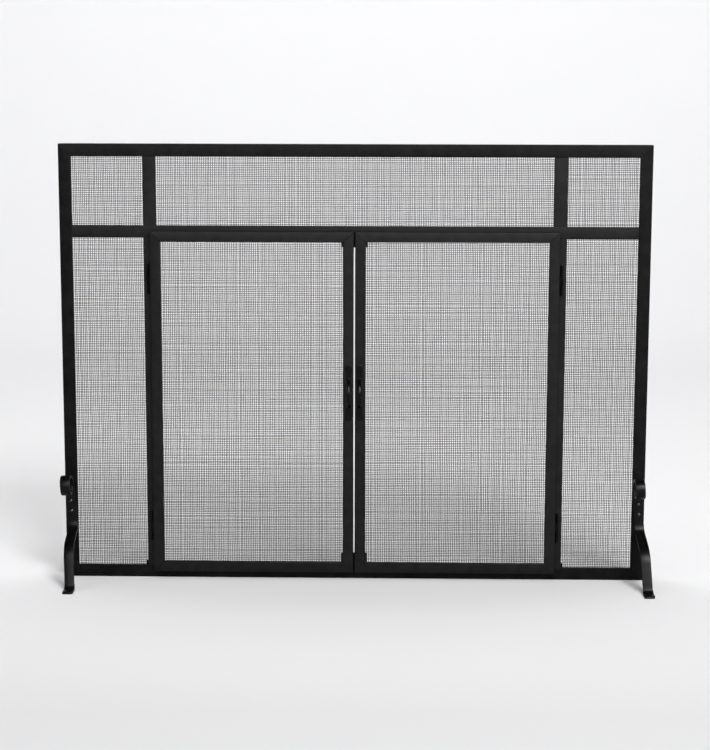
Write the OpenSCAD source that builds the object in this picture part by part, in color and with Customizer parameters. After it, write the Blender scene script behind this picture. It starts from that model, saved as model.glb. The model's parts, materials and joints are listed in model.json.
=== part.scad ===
// Flat fireplace screen: a steel angle frame divided by a transom and two mullions, wire
// mesh in every bay, and a pair of overlaid mesh doors that open forward on pin hinges.
// Units are millimetres. X runs along the screen, -Y is the room side and Z is up.
// The origin is the middle of the bottom rail's underside, on the hearth.

/* [Frame] */
// Width over the side stiles
screen_w = 1118; // [1000:1:1300]
// Height over the rails, from the hearth
screen_h = 838; // [780:1:950]
// Face width of the stiles, the rails and the transom
rail_w = 23.6; // [22:0.1:30]
// Depth of the frame angle, front to back
rail_depth = 24; // [18:0.5:32]
// Thickness of the frame angle, the transom and the mullions
rail_t = 3; // [2:0.25:4]
// Face width of the mullions
mullion_w = 25; // [23:0.5:30]
// Distance between the mullion centrelines
mullion_spread = 775.8; // [700:0.2:850]
// Height of the transom's centreline
transom_z = 673.1; // [620:0.1:700]
// Radius of the rolled edges of every angle and bar
edge_r = 1; // [0.5:0.1:1.2]
// Width of the weld tab at the foot of each mullion
tab_w = 3.6; // [2:0.1:6]
// Height of the weld tab at the foot of each mullion
tab_h = 9.2; // [5:0.1:14]

/* [Doors] */
// Overlap of a door on its mullion
door_side_lap = 11.6; // [8:0.1:13]
// Overlap of the doors on the transom
door_top_lap = 13.7; // [8:0.1:16]
// Overlap of the doors on the bottom rail
door_bottom_lap = 9; // [6:0.1:14]
// Gap between the two doors
door_gap = 2.6; // [2:0.1:6]
// Face width of the door angle
door_w = 19.6; // [18.5:0.1:23]
// Depth of the door angle, front to back
door_depth = 10.5; // [9:0.5:14]
// Thickness of the door angle
door_t = 2.5; // [2:0.25:3]
// Clearance between the closed doors and the frame
door_standoff = 1.8; // [1.6:0.1:3]

/* [Mesh] */
// Diameter of the mesh wire
wire_d = 1.05; // [0.7:0.05:1.2]
// Distance from wire to wire
wire_pitch = 3.457; // [2.5:0.001:5]
// How many real wires each modelled strand stands for
wires_per_strand = 8; // [6:1:12]
// How far the mesh of the frame bays reaches under the bars
mesh_lap = 7; // [5:0.25:7.5]
// How far the mesh of the doors reaches under the door angle
door_mesh_lap = 6; // [4:0.25:6.5]
// Thickness of the flat bars that clamp the mesh
clamp_t = 2; // [1.5:0.25:3]
// Gap between the ends of neighbouring clamp bars
clamp_gap = 0.5; // [0.3:0.1:2]

/* [Hinges] */
// Length of a hinge
hinge_len = 55; // [45:1:70]
// Distance from the door's bottom edge to the lower hinge's middle
lower_hinge_inset = 89; // [60:1:140]
// Distance from the door's top edge to the upper hinge's middle
upper_hinge_inset = 91.5; // [60:0.5:140]
// Diameter of the hinge barrel
barrel_d = 5.5; // [5:0.1:5.6]
// Diameter of the hinge pin
pin_d = 3; // [2.5:0.1:3.4]
// Distance from the door's edge to the pin's axis
pin_offset = 4.8; // [4.4:0.1:6]
// Thickness of the hinge leaves
leaf_t = 1.2; // [1:0.1:1.2]
// Width of the leaf that lies on the mullion
leaf_w = 15; // [10:0.5:15]
// Height of a hinge pin's rounded head
pin_head_h = 1.5; // [1:0.1:3]
// Radial clearance of the pin in the turning knuckle
pin_clearance = 0.05; // [0.02:0.01:0.1]

/* [Handles] */
// Height of the handles' middle
handle_z = 367.5; // [300:0.5:420]
// Distance from a door's meeting edge to the middle of its handle
handle_inset = 9.1; // [8:0.1:10.5]
// Radius of the bow, to the middle of its strap
bow_r = 25.5; // [22:0.5:32]
// Width of the bow's strap
bow_w = 7.4; // [5.6:0.1:8.6]
// Thickness of the bow's strap
bow_t = 4.6; // [4.4:0.1:6]
// Radius of the rolled edges of the bow's strap
bow_edge_r = 2.1; // [0.5:0.1:2.1]
// Thickness of the fan-shaped end plates
fan_t = 2.5; // [2:0.1:3.5]
// How far an end plate reaches past the bow
fan_reach = 26; // [22:0.5:34]
// Width of an end plate at its round end
fan_w = 14; // [12:0.5:17]
// Width of an end plate at the bow's root
fan_root_w = 9; // [8.7:0.1:10]
// Radius of an end plate's round end
fan_end_r = 9; // [8.5:0.5:14]
// Diameter of the handle screws
handle_screw_d = 3; // [2.5:0.1:3.5]

/* [Catches] */
// Width of the plates that the closed doors stop on
catch_w = 49; // [40:1:60]
// How far the upper plate hangs below the transom
upper_catch_reach = 17; // [15:0.5:24]
// How far the lower plate stands above the bottom rail
lower_catch_reach = 27; // [15:0.5:34]
// How far each plate reaches behind the bar that it is welded to
catch_lap = 11; // [8:0.5:12]
// Thickness of the catch plates
catch_t = 2; // [1.5:0.25:3]
// Diameter of the disc magnets
magnet_d = 12; // [8:0.5:14]
// Thickness of the keeper plates in the doors
keeper_t = 2; // [1.5:0.25:2.5]

/* [Legs] */
// Width of the leg's flat bar
leg_w = 18.6; // [16:0.1:20]
// Thickness of the leg's flat bar
leg_t = 5; // [4:0.25:6]
// Distance from the stile's outer edge to the middle of the leg
leg_inset = 11.5; // [11:0.1:12.5]
// Sideways lean of both legs, in degrees, with their tops towards -X
leg_lean = 3.4; // [0:0.1:4]
// How far each foot is set over towards +X below the knee
foot_set = 1.6; // [0:0.1:4]
// Height at which the foot starts to be set over
foot_set_top_z = 110; // [90:1:112]
// Height at which the foot is fully set over
foot_set_z = 70; // [40:1:85]
// How far the toes reach in front of the frame
toe_reach = 131; // [115:1:150]
// Height of the knee, where the bar leaves the stile
knee_z = 114.5; // [108:0.5:118]
// Middle height of the leg's two screws
leg_screw_z = 142; // [135:0.5:148]
// Distance between the leg's two screws
leg_screw_pitch = 20; // [14:0.5:26]
// Height of the curled top of the leg
leg_top_z = 209; // [206:0.5:230]
// Height of the curl, from its top to its underside
curl_d = 38; // [36:0.5:42]
// How far the curl stands out in front of the frame
curl_reach = 58; // [50:0.5:62]
// Radius of the curled end, to the middle of the bar
curl_end_r = 11; // [9:0.5:12]
// Angle through which the end is curled inside the curl
curl_end_turn = 100; // [60:5:140]
// Forward angle of the ramp below the knee, from straight down
ramp_angle = 74; // [70:1:78]
// Forward angle of the shin, from straight down
shin_angle = 17; // [12:1:24]
// Bend radius of the knee, to the middle of the bar
knee_r = 20; // [12:0.5:24]
// Bend radius of the shoulder, to the middle of the bar
shoulder_r = 42; // [28:0.5:46]
// Bend radius of the ankle, to the middle of the bar
ankle_r = 12.5; // [8:0.5:14]
// Straight length of the toe on the hearth
toe_len = 20; // [16:0.5:26]
// Width of the toe's flared end
toe_w = 20.4; // [20:0.1:26]
// Height from the hearth at which the flare starts
flare_z = 11; // [8:0.5:20]
// Radius over which the end of the toe is rounded down
toe_tip_r = 4; // [2:0.25:4]
// Radius of the toe's corners, seen from above
toe_corner_r = 5; // [2:0.5:8]
// Diameter of the leg screws
leg_screw_d = 4; // [3:0.1:4.5]

/* [Hidden] */

BLACK = "#1c1c1e";
WIRE = "#26262a";
STEEL = "#8d8f94";
LEFT = -1;
RIGHT = 1;
EDGE_STEPS = 3;
BEND_STEP = 8;
ROUND = 48;
SEAT = 0.3;
SCREW_CLEARANCE = 0.1;
FAN_SKIN = 0.5;
// How far a cut runs past the face that it opens
CUT = 1;

front_y = -rail_depth / 2;
bay_top = screen_h - rail_w;
bay_side = screen_w / 2 - rail_w;
transom_top = transom_z + rail_w / 2;
transom_bottom = transom_z - rail_w / 2;
mullion_in = mullion_spread / 2 - mullion_w / 2;
mullion_out = mullion_spread / 2 + mullion_w / 2;

door_out = mullion_in + door_side_lap;
door_in = door_gap / 2;
door_top = transom_bottom + door_top_lap;
door_bottom = rail_w - door_bottom_lap;
door_back_y = front_y - door_standoff;
door_front_y = door_back_y - door_depth;
meeting_x = door_in + door_w / 2;

mesh_t = 2 * wire_d;
strand_w = PI / 4 * wire_d * wire_d * wires_per_strand / mesh_t;

pin_x = door_out + pin_offset;
pin_y = front_y - barrel_d / 2 - SEAT;
hinge_heights = [door_bottom + lower_hinge_inset, door_top - upper_hinge_inset];
knuckle_len = hinge_len / 3;

handle_x = door_in + handle_inset;
fan_tip = bow_r + bow_t / 2 + fan_reach;
fan_screw = fan_tip - fan_end_r;
magnet_front_y = door_back_y + SEAT;

function arc(centre, r, from, to, steps) =
  [for (i = [0 : steps]) let (a = from + (to - from) * i / steps) centre + r * [cos(a), sin(a)]];

// Section of an angle in depth and width: the face on the front, the return leg on the outer edge.
function angle_section(w, depth, t) = concat(
  arc([edge_r, edge_r], edge_r, 270, 180, EDGE_STEPS),
  arc([edge_r, w - edge_r], edge_r, 180, 90, EDGE_STEPS),
  [[t, w], [t, t]],
  [[depth, t]],
  [[depth, 0]]
);

// Section of a flat bar lying in the plane of the face, with rolled front edges.
function bar_section(w, t) = concat(
  arc([edge_r, edge_r], edge_r, 270, 180, EDGE_STEPS),
  arc([edge_r, w - edge_r], edge_r, 180, 90, EDGE_STEPS),
  [[t, w], [t, 0]]
);

// Runs a section from x = 0 along +X. Its first number lies along Y and its second along Z.
module along_x(points, length) {
  rotate([90, 0, 90])
    linear_extrude(length)
      polygon(points);
}

module along_z(points, length) {
  mirror([1, 0, -1])
    along_x(points, length);
}

// An angle with both ends cut at 45 degrees, its outer edge on z = 0 and its face at y = 0.
module mitred_angle(length, w, depth, t) {
  intersection() {
    along_x(angle_section(w, depth, t), length);
    translate([0, depth, 0])
      rotate([90, 0, 0])
        linear_extrude(depth)
          polygon([[0, 0], [length, 0], [length - w, w], [w, w]]);
  }
}

// The four sides of a rectangle of mitred angle, whose lower left front corner is at the origin.
module low_side(length, w, depth, t) {
  mitred_angle(length, w, depth, t);
}

module high_side(length, height, w, depth, t) {
  translate([0, 0, height])
    mirror([0, 0, 1])
      mitred_angle(length, w, depth, t);
}

module near_side(height, w, depth, t) {
  mirror([1, 0, -1])
    mitred_angle(height, w, depth, t);
}

module far_side(length, height, w, depth, t) {
  translate([length, 0, 0])
    mirror([1, 0, 0])
      near_side(height, w, depth, t);
}

module on_side(side) {
  mirror([side == LEFT ? 1 : 0, 0, 0])
    children();
}

// Frame

module frame_corner() {
  translate([-screen_w / 2, front_y, 0])
    children();
}

module stile(side) {
  color(BLACK)
    difference() {
      on_side(side)
        frame_corner()
          far_side(screen_w, screen_h, rail_w, rail_depth, rail_t);
      at_leg(side)
        leg_holes(leg_screw_d + SCREW_CLEARANCE);
    }
}

module top_rail() {
  color(BLACK)
    frame_corner()
      high_side(screen_w, screen_h, rail_w, rail_depth, rail_t);
}

module bottom_rail() {
  color(BLACK)
    frame_corner()
      low_side(screen_w, rail_w, rail_depth, rail_t);
}

module transom() {
  color(BLACK)
    translate([-bay_side, front_y, transom_bottom])
      along_x(bar_section(rail_w, rail_t), 2 * bay_side);
}

module mullion(side, low, high) {
  color(BLACK)
    on_side(side)
      translate([mullion_in, front_y, low])
        along_z(bar_section(mullion_w, rail_t), high - low);
}

module upper_mullion(side) {
  mullion(side, transom_top, bay_top);
}

module lower_mullion(side) {
  mullion(side, rail_w, transom_bottom);
}

module mullion_tab(side) {
  color(BLACK)
    on_side(side)
      translate([mullion_out, front_y, rail_w])
        cube([tab_w, rail_t, tab_h]);
}

// Mesh bays: [left, right, bottom, top] of each clear opening

upper_left_bay = [-bay_side, -mullion_out, transom_top, bay_top];
upper_centre_bay = [-mullion_in, mullion_in, transom_top, bay_top];
upper_right_bay = [mullion_out, bay_side, transom_top, bay_top];
side_left_bay = [-bay_side, -mullion_out, rail_w, transom_bottom];
side_right_bay = [mullion_out, bay_side, rail_w, transom_bottom];
right_door_bay = [door_in + door_w, door_out - door_w, door_bottom + door_w, door_top - door_w];
left_door_bay = [-right_door_bay[1], -right_door_bay[0], right_door_bay[2], right_door_bay[3]];

function corners(left, right, low, high) = [[left, low], [right, low], [right, high], [left, high]];

// A sheet of mesh with plain borders under the bars, square cells between its strands and its
// front on y = 0. Each strand has the steel of the wires that it stands for.
module mesh_sheet(bay, lap) {
  cell = wire_pitch * wires_per_strand;
  width = bay[1] - bay[0];
  height = bay[3] - bay[2];
  columns = round(width / cell);
  rows = round(height / cell);
  outline = corners(bay[0] - lap, bay[1] + lap, bay[2] - lap, bay[3] + lap);
  cells = [
    for (i = [0 : columns - 1], j = [0 : rows - 1])
      each corners(
        bay[0] + width * i / columns + strand_w / 2,
        bay[0] + width * (i + 1) / columns - strand_w / 2,
        bay[2] + height * j / rows + strand_w / 2,
        bay[2] + height * (j + 1) / rows - strand_w / 2
      )
  ];
  rings = [for (k = [0 : columns * rows]) [for (c = [0 : 3]) 4 * k + c]];
  color(WIRE)
    translate([0, mesh_t, 0])
      rotate([90, 0, 0])
        linear_extrude(mesh_t)
          polygon(concat(outline, cells), rings);
}

// Four flat bars round a bay, their fronts on y = 0.
module clamp_bars(bay, lap) {
  width = bay[1] - bay[0];
  height = bay[3] - bay[2];
  color(BLACK) {
    for (z = [bay[2] - lap, bay[3]])
      translate([bay[0] - lap, 0, z])
        cube([width + 2 * lap, clamp_t, lap]);
    for (x = [bay[0] - lap, bay[1]])
      translate([x, 0, bay[2] + clamp_gap])
        cube([lap, clamp_t, height - 2 * clamp_gap]);
  }
}

module frame_mesh(bay) {
  translate([0, front_y + rail_t, 0])
    mesh_sheet(bay, mesh_lap);
}

module frame_clamps(bay) {
  translate([0, front_y + rail_t + mesh_t, 0])
    clamp_bars(bay, mesh_lap);
}

module door_mesh(bay) {
  translate([0, door_front_y + door_t, 0])
    mesh_sheet(bay, door_mesh_lap);
}

module door_clamps(bay) {
  translate([0, door_front_y + door_t + mesh_t, 0])
    clamp_bars(bay, door_mesh_lap);
}

// Doors, drawn on the right and mirrored for the left

module door_corner() {
  translate([door_in, door_front_y, door_bottom])
    children();
}

module door_hinge_stile(side) {
  color(BLACK)
    on_side(side)
      door_corner()
        far_side(door_out - door_in, door_top - door_bottom, door_w, door_depth, door_t);
}

module door_meeting_stile(side) {
  color(BLACK)
    difference() {
      on_side(side)
        door_corner()
          near_side(door_top - door_bottom, door_w, door_depth, door_t);
      handle_screw_holes(side, door_front_y + door_t + CUT);
    }
}

module door_top_rail(side) {
  color(BLACK)
    on_side(side)
      door_corner()
        high_side(door_out - door_in, door_top - door_bottom, door_w, door_depth, door_t);
}

module door_bottom_rail(side) {
  color(BLACK)
    on_side(side)
      door_corner()
        low_side(door_out - door_in, door_w, door_depth, door_t);
}

// Hinges: the outer knuckles belong to the frame and the middle one to the door

module frame_leaf(z) {
  low = z - hinge_len / 2;
  for (end = [low, low + 2 * knuckle_len])
    difference() {
      union() {
        translate([pin_x, pin_y, end])
          cylinder(h = knuckle_len, d = barrel_d, $fn = ROUND);
        translate([pin_x - barrel_d / 2 - SEAT, front_y - leaf_t, end])
          cube([barrel_d / 2 + SEAT, leaf_t, knuckle_len]);
      }
      translate([pin_x, pin_y, end - CUT])
        cylinder(h = knuckle_len + 2 * CUT, d = pin_d, $fn = ROUND);
    }
  translate([pin_x - leaf_w, front_y - leaf_t, low])
    cube([leaf_w - barrel_d / 2 - SEAT, leaf_t, hinge_len]);
}

module frame_leaves(side) {
  color(BLACK)
    on_side(side)
      for (z = hinge_heights)
        frame_leaf(z);
}

module door_leaf(z) {
  low = z - knuckle_len / 2 + SEAT;
  length = knuckle_len - 2 * SEAT;
  difference() {
    union() {
      translate([pin_x, pin_y, low])
        cylinder(h = length, d = barrel_d, $fn = ROUND);
      translate([door_out, pin_y - barrel_d / 2, low])
        cube([pin_offset, leaf_t, length]);
    }
    translate([pin_x, pin_y, low - CUT])
      cylinder(h = length + 2 * CUT, d = pin_d + 2 * pin_clearance, $fn = ROUND);
  }
  translate([door_out, door_front_y + edge_r, z - hinge_len / 2])
    cube([leaf_t, door_depth - edge_r, hinge_len]);
}

module door_leaves(side) {
  color(BLACK)
    on_side(side)
      for (z = hinge_heights)
        door_leaf(z);
}

module hinge_pins(side) {
  color(BLACK)
    on_side(side)
      for (z = hinge_heights)
        translate([pin_x, pin_y, z - hinge_len / 2 - pin_head_h]) {
          cylinder(h = pin_head_h, d = barrel_d - 1, $fn = ROUND);
          cylinder(h = hinge_len + 2 * pin_head_h, d = pin_d, $fn = ROUND);
          translate([0, 0, hinge_len + pin_head_h])
            cylinder(h = pin_head_h, d = barrel_d - 1, $fn = ROUND);
        }
}

// Handles

// Outline of an end plate: straight sides that spread from the bow's root to a round end.
module fan_outline() {
  root = bow_r - bow_t / 2;
  intersection() {
    polygon([
      [-fan_root_w / 2, root],
      [fan_root_w / 2, root],
      [fan_w / 2, fan_tip],
      [-fan_w / 2, fan_tip]
    ]);
    union() {
      translate([0, fan_tip - fan_end_r])
        circle(r = fan_end_r, $fn = ROUND);
      translate([-fan_w, root])
        square([2 * fan_w, fan_tip - fan_end_r - root]);
    }
  }
}

module fan_plate(up) {
  mirror([0, 0, up ? 0 : 1])
    rotate([90, 0, 0])
      linear_extrude(fan_t)
        fan_outline();
}

// Section of the bow's strap, its thickness along X.
module strap_section() {
  x = bow_t / 2 - bow_edge_r;
  y = bow_w / 2 - bow_edge_r;
  polygon(concat(
    arc([x, y], bow_edge_r, 0, 90, EDGE_STEPS),
    arc([-x, y], bow_edge_r, 90, 180, EDGE_STEPS),
    arc([-x, -y], bow_edge_r, 180, 270, EDGE_STEPS),
    arc([x, -y], bow_edge_r, 270, 360, EDGE_STEPS)
  ));
}

module bow() {
  translate([0, -fan_t / 2, 0])
    rotate([0, 90, 0])
      rotate([0, 0, 180])
        rotate_extrude(angle = 180, $fn = 2 * ROUND)
          translate([bow_r, 0])
            strap_section();
}

module handle_screw_holes(side, back_y) {
  depth = back_y - door_front_y + fan_t - FAN_SKIN;
  for (end = [-1, 1])
    translate([side * handle_x, back_y, handle_z + end * fan_screw])
      rotate([90, 0, 0])
        cylinder(h = depth, d = handle_screw_d + SCREW_CLEARANCE, $fn = ROUND);
}

module handle(side) {
  color(BLACK)
    difference() {
      translate([side * handle_x, door_front_y, handle_z]) {
        fan_plate(true);
        fan_plate(false);
        bow();
      }
      handle_screw_holes(side, door_front_y);
    }
}

module handle_screws(side) {
  head_h = 0.6 * handle_screw_d;
  head_d = 1.8 * handle_screw_d;
  color(STEEL)
    for (end = [-1, 1])
      translate([side * handle_x, door_front_y + door_t, handle_z + end * fan_screw]) {
        rotate([-90, 0, 0])
          cylinder(h = head_h, d = head_d, $fn = ROUND);
        rotate([90, 0, 0])
          cylinder(h = door_t + fan_t - 2 * FAN_SKIN, d = handle_screw_d, $fn = ROUND);
      }
}

// Catches

module catch_plate(low, high) {
  color(BLACK)
    translate([-catch_w / 2, front_y + rail_t, low])
      cube([catch_w, catch_t, high - low]);
}

module upper_catch_plate() {
  catch_plate(transom_bottom - upper_catch_reach, transom_bottom + catch_lap);
}

module lower_catch_plate() {
  catch_plate(rail_w - catch_lap, rail_w + lower_catch_reach);
}

module magnets(z) {
  color(STEEL)
    for (side = [LEFT, RIGHT])
      translate([side * meeting_x, front_y + rail_t, z])
        rotate([90, 0, 0])
          cylinder(h = front_y + rail_t - magnet_front_y, d = magnet_d, $fn = ROUND);
}

module keeper(low, high) {
  translate([door_in + door_t, door_back_y - keeper_t, low])
    cube([door_w - door_t, keeper_t, high - low]);
}

module door_keepers(side) {
  color(BLACK)
    on_side(side) {
      keeper(transom_bottom - upper_catch_reach, door_top - door_t);
      keeper(door_bottom + door_t, rail_w + lower_catch_reach);
    }
}

// Legs. The bar's centreline is a run of bends and straights in the plane of [forward, up],
// given by its heading from straight down.

// Lengths of the ramp and the shin that bring the toe to its reach and the knee to its height.
leg_forward = toe_reach - leg_t / 2 - toe_len - knee_r * (1 - cos(ramp_angle))
  - shoulder_r * (cos(shin_angle) - cos(ramp_angle)) - ankle_r * cos(shin_angle);
leg_down = knee_z - leg_t / 2 - knee_r * sin(ramp_angle)
  - shoulder_r * (sin(ramp_angle) - sin(shin_angle)) - ankle_r * (1 - sin(shin_angle));
ramp_len = (leg_forward * cos(shin_angle) - leg_down * sin(shin_angle)) / sin(ramp_angle - shin_angle);
shin_len = (leg_down * sin(ramp_angle) - leg_forward * cos(ramp_angle)) / sin(ramp_angle - shin_angle);

function heading(a) = [sin(a), -cos(a)];

// Centres of the bends, each found from where the bend before it ends.
knee_centre = [leg_t / 2 + knee_r, knee_z];
ramp_start = knee_centre + knee_r * [-cos(ramp_angle), -sin(ramp_angle)];
ramp_end = ramp_start + ramp_len * heading(ramp_angle);
shoulder_centre = ramp_end + shoulder_r * [-cos(ramp_angle), -sin(ramp_angle)];
shin_start = shoulder_centre + shoulder_r * [cos(shin_angle), sin(shin_angle)];
shin_end = shin_start + shin_len * heading(shin_angle);
ankle_centre = shin_end + ankle_r * [cos(shin_angle), sin(shin_angle)];

// The top of the bar sweeps forward, curls down in front and ends curled up inside.
curl_x = curl_reach - curl_d / 2;
sweep_r = curl_x - leg_t / 2;
curl_r = (curl_d - leg_t) / 2;
sweep_centre = [curl_x, leg_top_z - leg_t / 2 - sweep_r];
curl_centre = [curl_x, leg_top_z - curl_d / 2];
curl_end_centre = [curl_x, leg_top_z - curl_d + leg_t / 2 + curl_end_r];

function bend_steps(turn) = ceil(turn / BEND_STEP);

// One face of the bar from the toe to the end of the curl, offset from the centreline.
function leg_face(off) = concat(
  arc(ankle_centre, ankle_r - off, 270, 180 + shin_angle, bend_steps(90 - shin_angle)),
  arc(shoulder_centre, shoulder_r + off, shin_angle, ramp_angle, bend_steps(ramp_angle - shin_angle)),
  arc(knee_centre, knee_r - off, 180 + ramp_angle, 180, bend_steps(ramp_angle)),
  arc(sweep_centre, sweep_r - off, 180, 90, bend_steps(90)),
  arc(curl_centre, curl_r - off, 90, -90, bend_steps(180)),
  arc(curl_end_centre, curl_end_r - off, -90, -90 - curl_end_turn, bend_steps(curl_end_turn))
);

function reversed(list) = [for (i = [len(list) - 1 : -1 : 0]) list[i]];

module leg_profile() {
  tip = arc([toe_reach - toe_tip_r, leg_t - toe_tip_r], toe_tip_r, 0, 90, bend_steps(90));
  polygon(concat([[toe_reach, 0]], tip, leg_face(leg_t / 2), reversed(leg_face(-leg_t / 2))));
}

// The bar seen from the front: straight at the top, set over below the knee and flared at the toe.
module leg_front() {
  half = leg_w / 2;
  toe_half = toe_w / 2;
  polygon([
    [foot_set + toe_half, -leg_w],
    [foot_set + toe_half, leg_t / 2],
    [foot_set + half, flare_z],
    [foot_set + half, foot_set_z],
    [half, foot_set_top_z],
    [half, leg_top_z + CUT],
    [-half, leg_top_z + CUT],
    [-half, foot_set_top_z],
    [foot_set - half, foot_set_z],
    [foot_set - half, flare_z],
    [foot_set - toe_half, leg_t / 2],
    [foot_set - toe_half, -leg_w]
  ]);
}

// The bar seen from above, forward along +Y, with the toe's corners rounded.
module leg_plan() {
  corner_x = toe_w / 2 - toe_corner_r;
  translate([-toe_w, -CUT])
    square([3 * toe_w, toe_reach - toe_len + CUT]);
  translate([foot_set - toe_w / 2, 0])
    square([toe_w, toe_reach - toe_corner_r]);
  translate([foot_set - corner_x, 0])
    square([2 * corner_x, toe_reach]);
  for (x = [-corner_x, corner_x])
    translate([foot_set + x, toe_reach - toe_corner_r])
      circle(r = toe_corner_r, $fn = ROUND);
}

module leg_bar() {
  intersection() {
    translate([-2 * leg_w, 0, 0])
      rotate([90, 0, 90])
        mirror([1, 0])
          linear_extrude(4 * leg_w)
            leg_profile();
    rotate([90, 0, 0])
      linear_extrude(toe_reach + CUT)
        leg_front();
    translate([0, 0, -CUT])
      linear_extrude(leg_top_z + 2 * CUT)
        mirror([0, 1])
          leg_plan();
  }
}

// Carries a leg's frame, whose origin is at the foot of the leg on the stile's face, to its stile.
module at_leg(side) {
  translate([side * (screen_w / 2 - leg_inset), front_y, leg_screw_z])
    rotate([0, -leg_lean, 0])
      translate([0, 0, -leg_screw_z])
        children();
}

leg_screw_heights = [leg_screw_z - leg_screw_pitch / 2, leg_screw_z + leg_screw_pitch / 2];

module leg_holes(d) {
  for (z = leg_screw_heights)
    translate([0, rail_t + leg_t, z])
      rotate([90, 0, 0])
        cylinder(h = rail_t + 3 * leg_t, d = d, $fn = ROUND);
}

// How far the leaned bar is let down, so that dressing its toe flat on the hearth leaves no gap.
toe_dressing = toe_w * sin(leg_lean) + leg_screw_z * (1 - cos(leg_lean));

module leg(side) {
  color(BLACK)
    difference() {
      translate([0, 0, -toe_dressing / 2])
        at_leg(side)
          leg_bar();
      at_leg(side)
        leg_holes(leg_screw_d + SCREW_CLEARANCE);
      translate([side * screen_w / 2 - toe_reach, front_y - 2 * toe_reach, -toe_reach])
        cube([2 * toe_reach, 2 * toe_reach, toe_reach]);
    }
}

// Usual proportions of a button-head screw and of a hexagon nut
nut_h = 0.8 * leg_screw_d;
nut_across_corners = 2.02 * leg_screw_d;
button_d = 1.9 * leg_screw_d;
button_h = 0.55 * leg_screw_d;
button_key = 0.62 * leg_screw_d;
button_key_depth = 0.6 * button_h;
thread_end = 1;

module leg_screws(side) {
  dome_r = (button_d * button_d / 4 + button_h * button_h) / (2 * button_h);
  color(BLACK)
    at_leg(side)
      for (z = leg_screw_heights)
        translate([0, -leg_t, z])
          rotate([-90, 0, 0])
            difference() {
              union() {
                cylinder(h = leg_t + rail_t + nut_h + thread_end, d = leg_screw_d, $fn = ROUND);
                intersection() {
                  translate([0, 0, dome_r - button_h])
                    sphere(r = dome_r, $fn = ROUND);
                  translate([0, 0, -button_h])
                    cylinder(h = button_h, d = button_d, $fn = ROUND);
                }
              }
              translate([0, 0, -button_h - CUT])
                cylinder(h = CUT + button_key_depth, d = button_key, $fn = 6);
            }
}

module leg_nuts(side) {
  color(STEEL)
    at_leg(side)
      for (z = leg_screw_heights)
        translate([0, rail_t, z])
          rotate([-90, 0, 0])
            difference() {
              cylinder(h = nut_h, d = nut_across_corners, $fn = 6);
              translate([0, 0, -CUT])
                cylinder(h = nut_h + 2 * CUT, d = leg_screw_d + SCREW_CLEARANCE, $fn = ROUND);
            }
}

stile(LEFT);  // left_stile
stile(RIGHT);  // right_stile
top_rail();
bottom_rail();
transom();
upper_mullion(LEFT);  // upper_left_mullion
upper_mullion(RIGHT);  // upper_right_mullion
lower_mullion(LEFT);  // lower_left_mullion
lower_mullion(RIGHT);  // lower_right_mullion
mullion_tab(LEFT);  // left_mullion_tab
mullion_tab(RIGHT);  // right_mullion_tab
frame_mesh(upper_left_bay);  // upper_left_mesh
frame_mesh(upper_centre_bay);  // upper_centre_mesh
frame_mesh(upper_right_bay);  // upper_right_mesh
frame_mesh(side_left_bay);  // side_left_mesh
frame_mesh(side_right_bay);  // side_right_mesh
door_mesh(left_door_bay);  // left_door_mesh
door_mesh(right_door_bay);  // right_door_mesh
frame_clamps(upper_left_bay);  // upper_left_clamps
frame_clamps(upper_centre_bay);  // upper_centre_clamps
frame_clamps(upper_right_bay);  // upper_right_clamps
frame_clamps(side_left_bay);  // side_left_clamps
frame_clamps(side_right_bay);  // side_right_clamps
door_clamps(left_door_bay);  // left_door_clamps
door_clamps(right_door_bay);  // right_door_clamps
door_hinge_stile(LEFT);  // left_door_hinge_stile
door_meeting_stile(LEFT);  // left_door_meeting_stile
door_top_rail(LEFT);  // left_door_top_rail
door_bottom_rail(LEFT);  // left_door_bottom_rail
door_hinge_stile(RIGHT);  // right_door_hinge_stile
door_meeting_stile(RIGHT);  // right_door_meeting_stile
door_top_rail(RIGHT);  // right_door_top_rail
door_bottom_rail(RIGHT);  // right_door_bottom_rail
frame_leaves(LEFT);  // left_frame_leaves
frame_leaves(RIGHT);  // right_frame_leaves
door_leaves(LEFT);  // left_door_leaves
door_leaves(RIGHT);  // right_door_leaves
hinge_pins(LEFT);  // left_hinge_pins
hinge_pins(RIGHT);  // right_hinge_pins
handle(LEFT);  // left_handle
handle(RIGHT);  // right_handle
handle_screws(LEFT);  // left_handle_screws
handle_screws(RIGHT);  // right_handle_screws
upper_catch_plate();
lower_catch_plate();
magnets(transom_bottom - upper_catch_reach / 2);  // upper_magnets
magnets(rail_w + lower_catch_reach / 2);  // lower_magnets
door_keepers(LEFT);  // left_door_keepers
door_keepers(RIGHT);  // right_door_keepers
leg(LEFT);  // left_leg
leg(RIGHT);  // right_leg
leg_screws(LEFT);  // left_leg_screws
leg_screws(RIGHT);  // right_leg_screws
leg_nuts(LEFT);  // left_leg_nuts
leg_nuts(RIGHT);  // right_leg_nuts
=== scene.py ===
"""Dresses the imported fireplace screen: rolled steel bars, woven wire, forged legs and handles."""

import json
import math

import bmesh
import bpy
import numpy as np
from mathutils import Matrix, Vector


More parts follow.
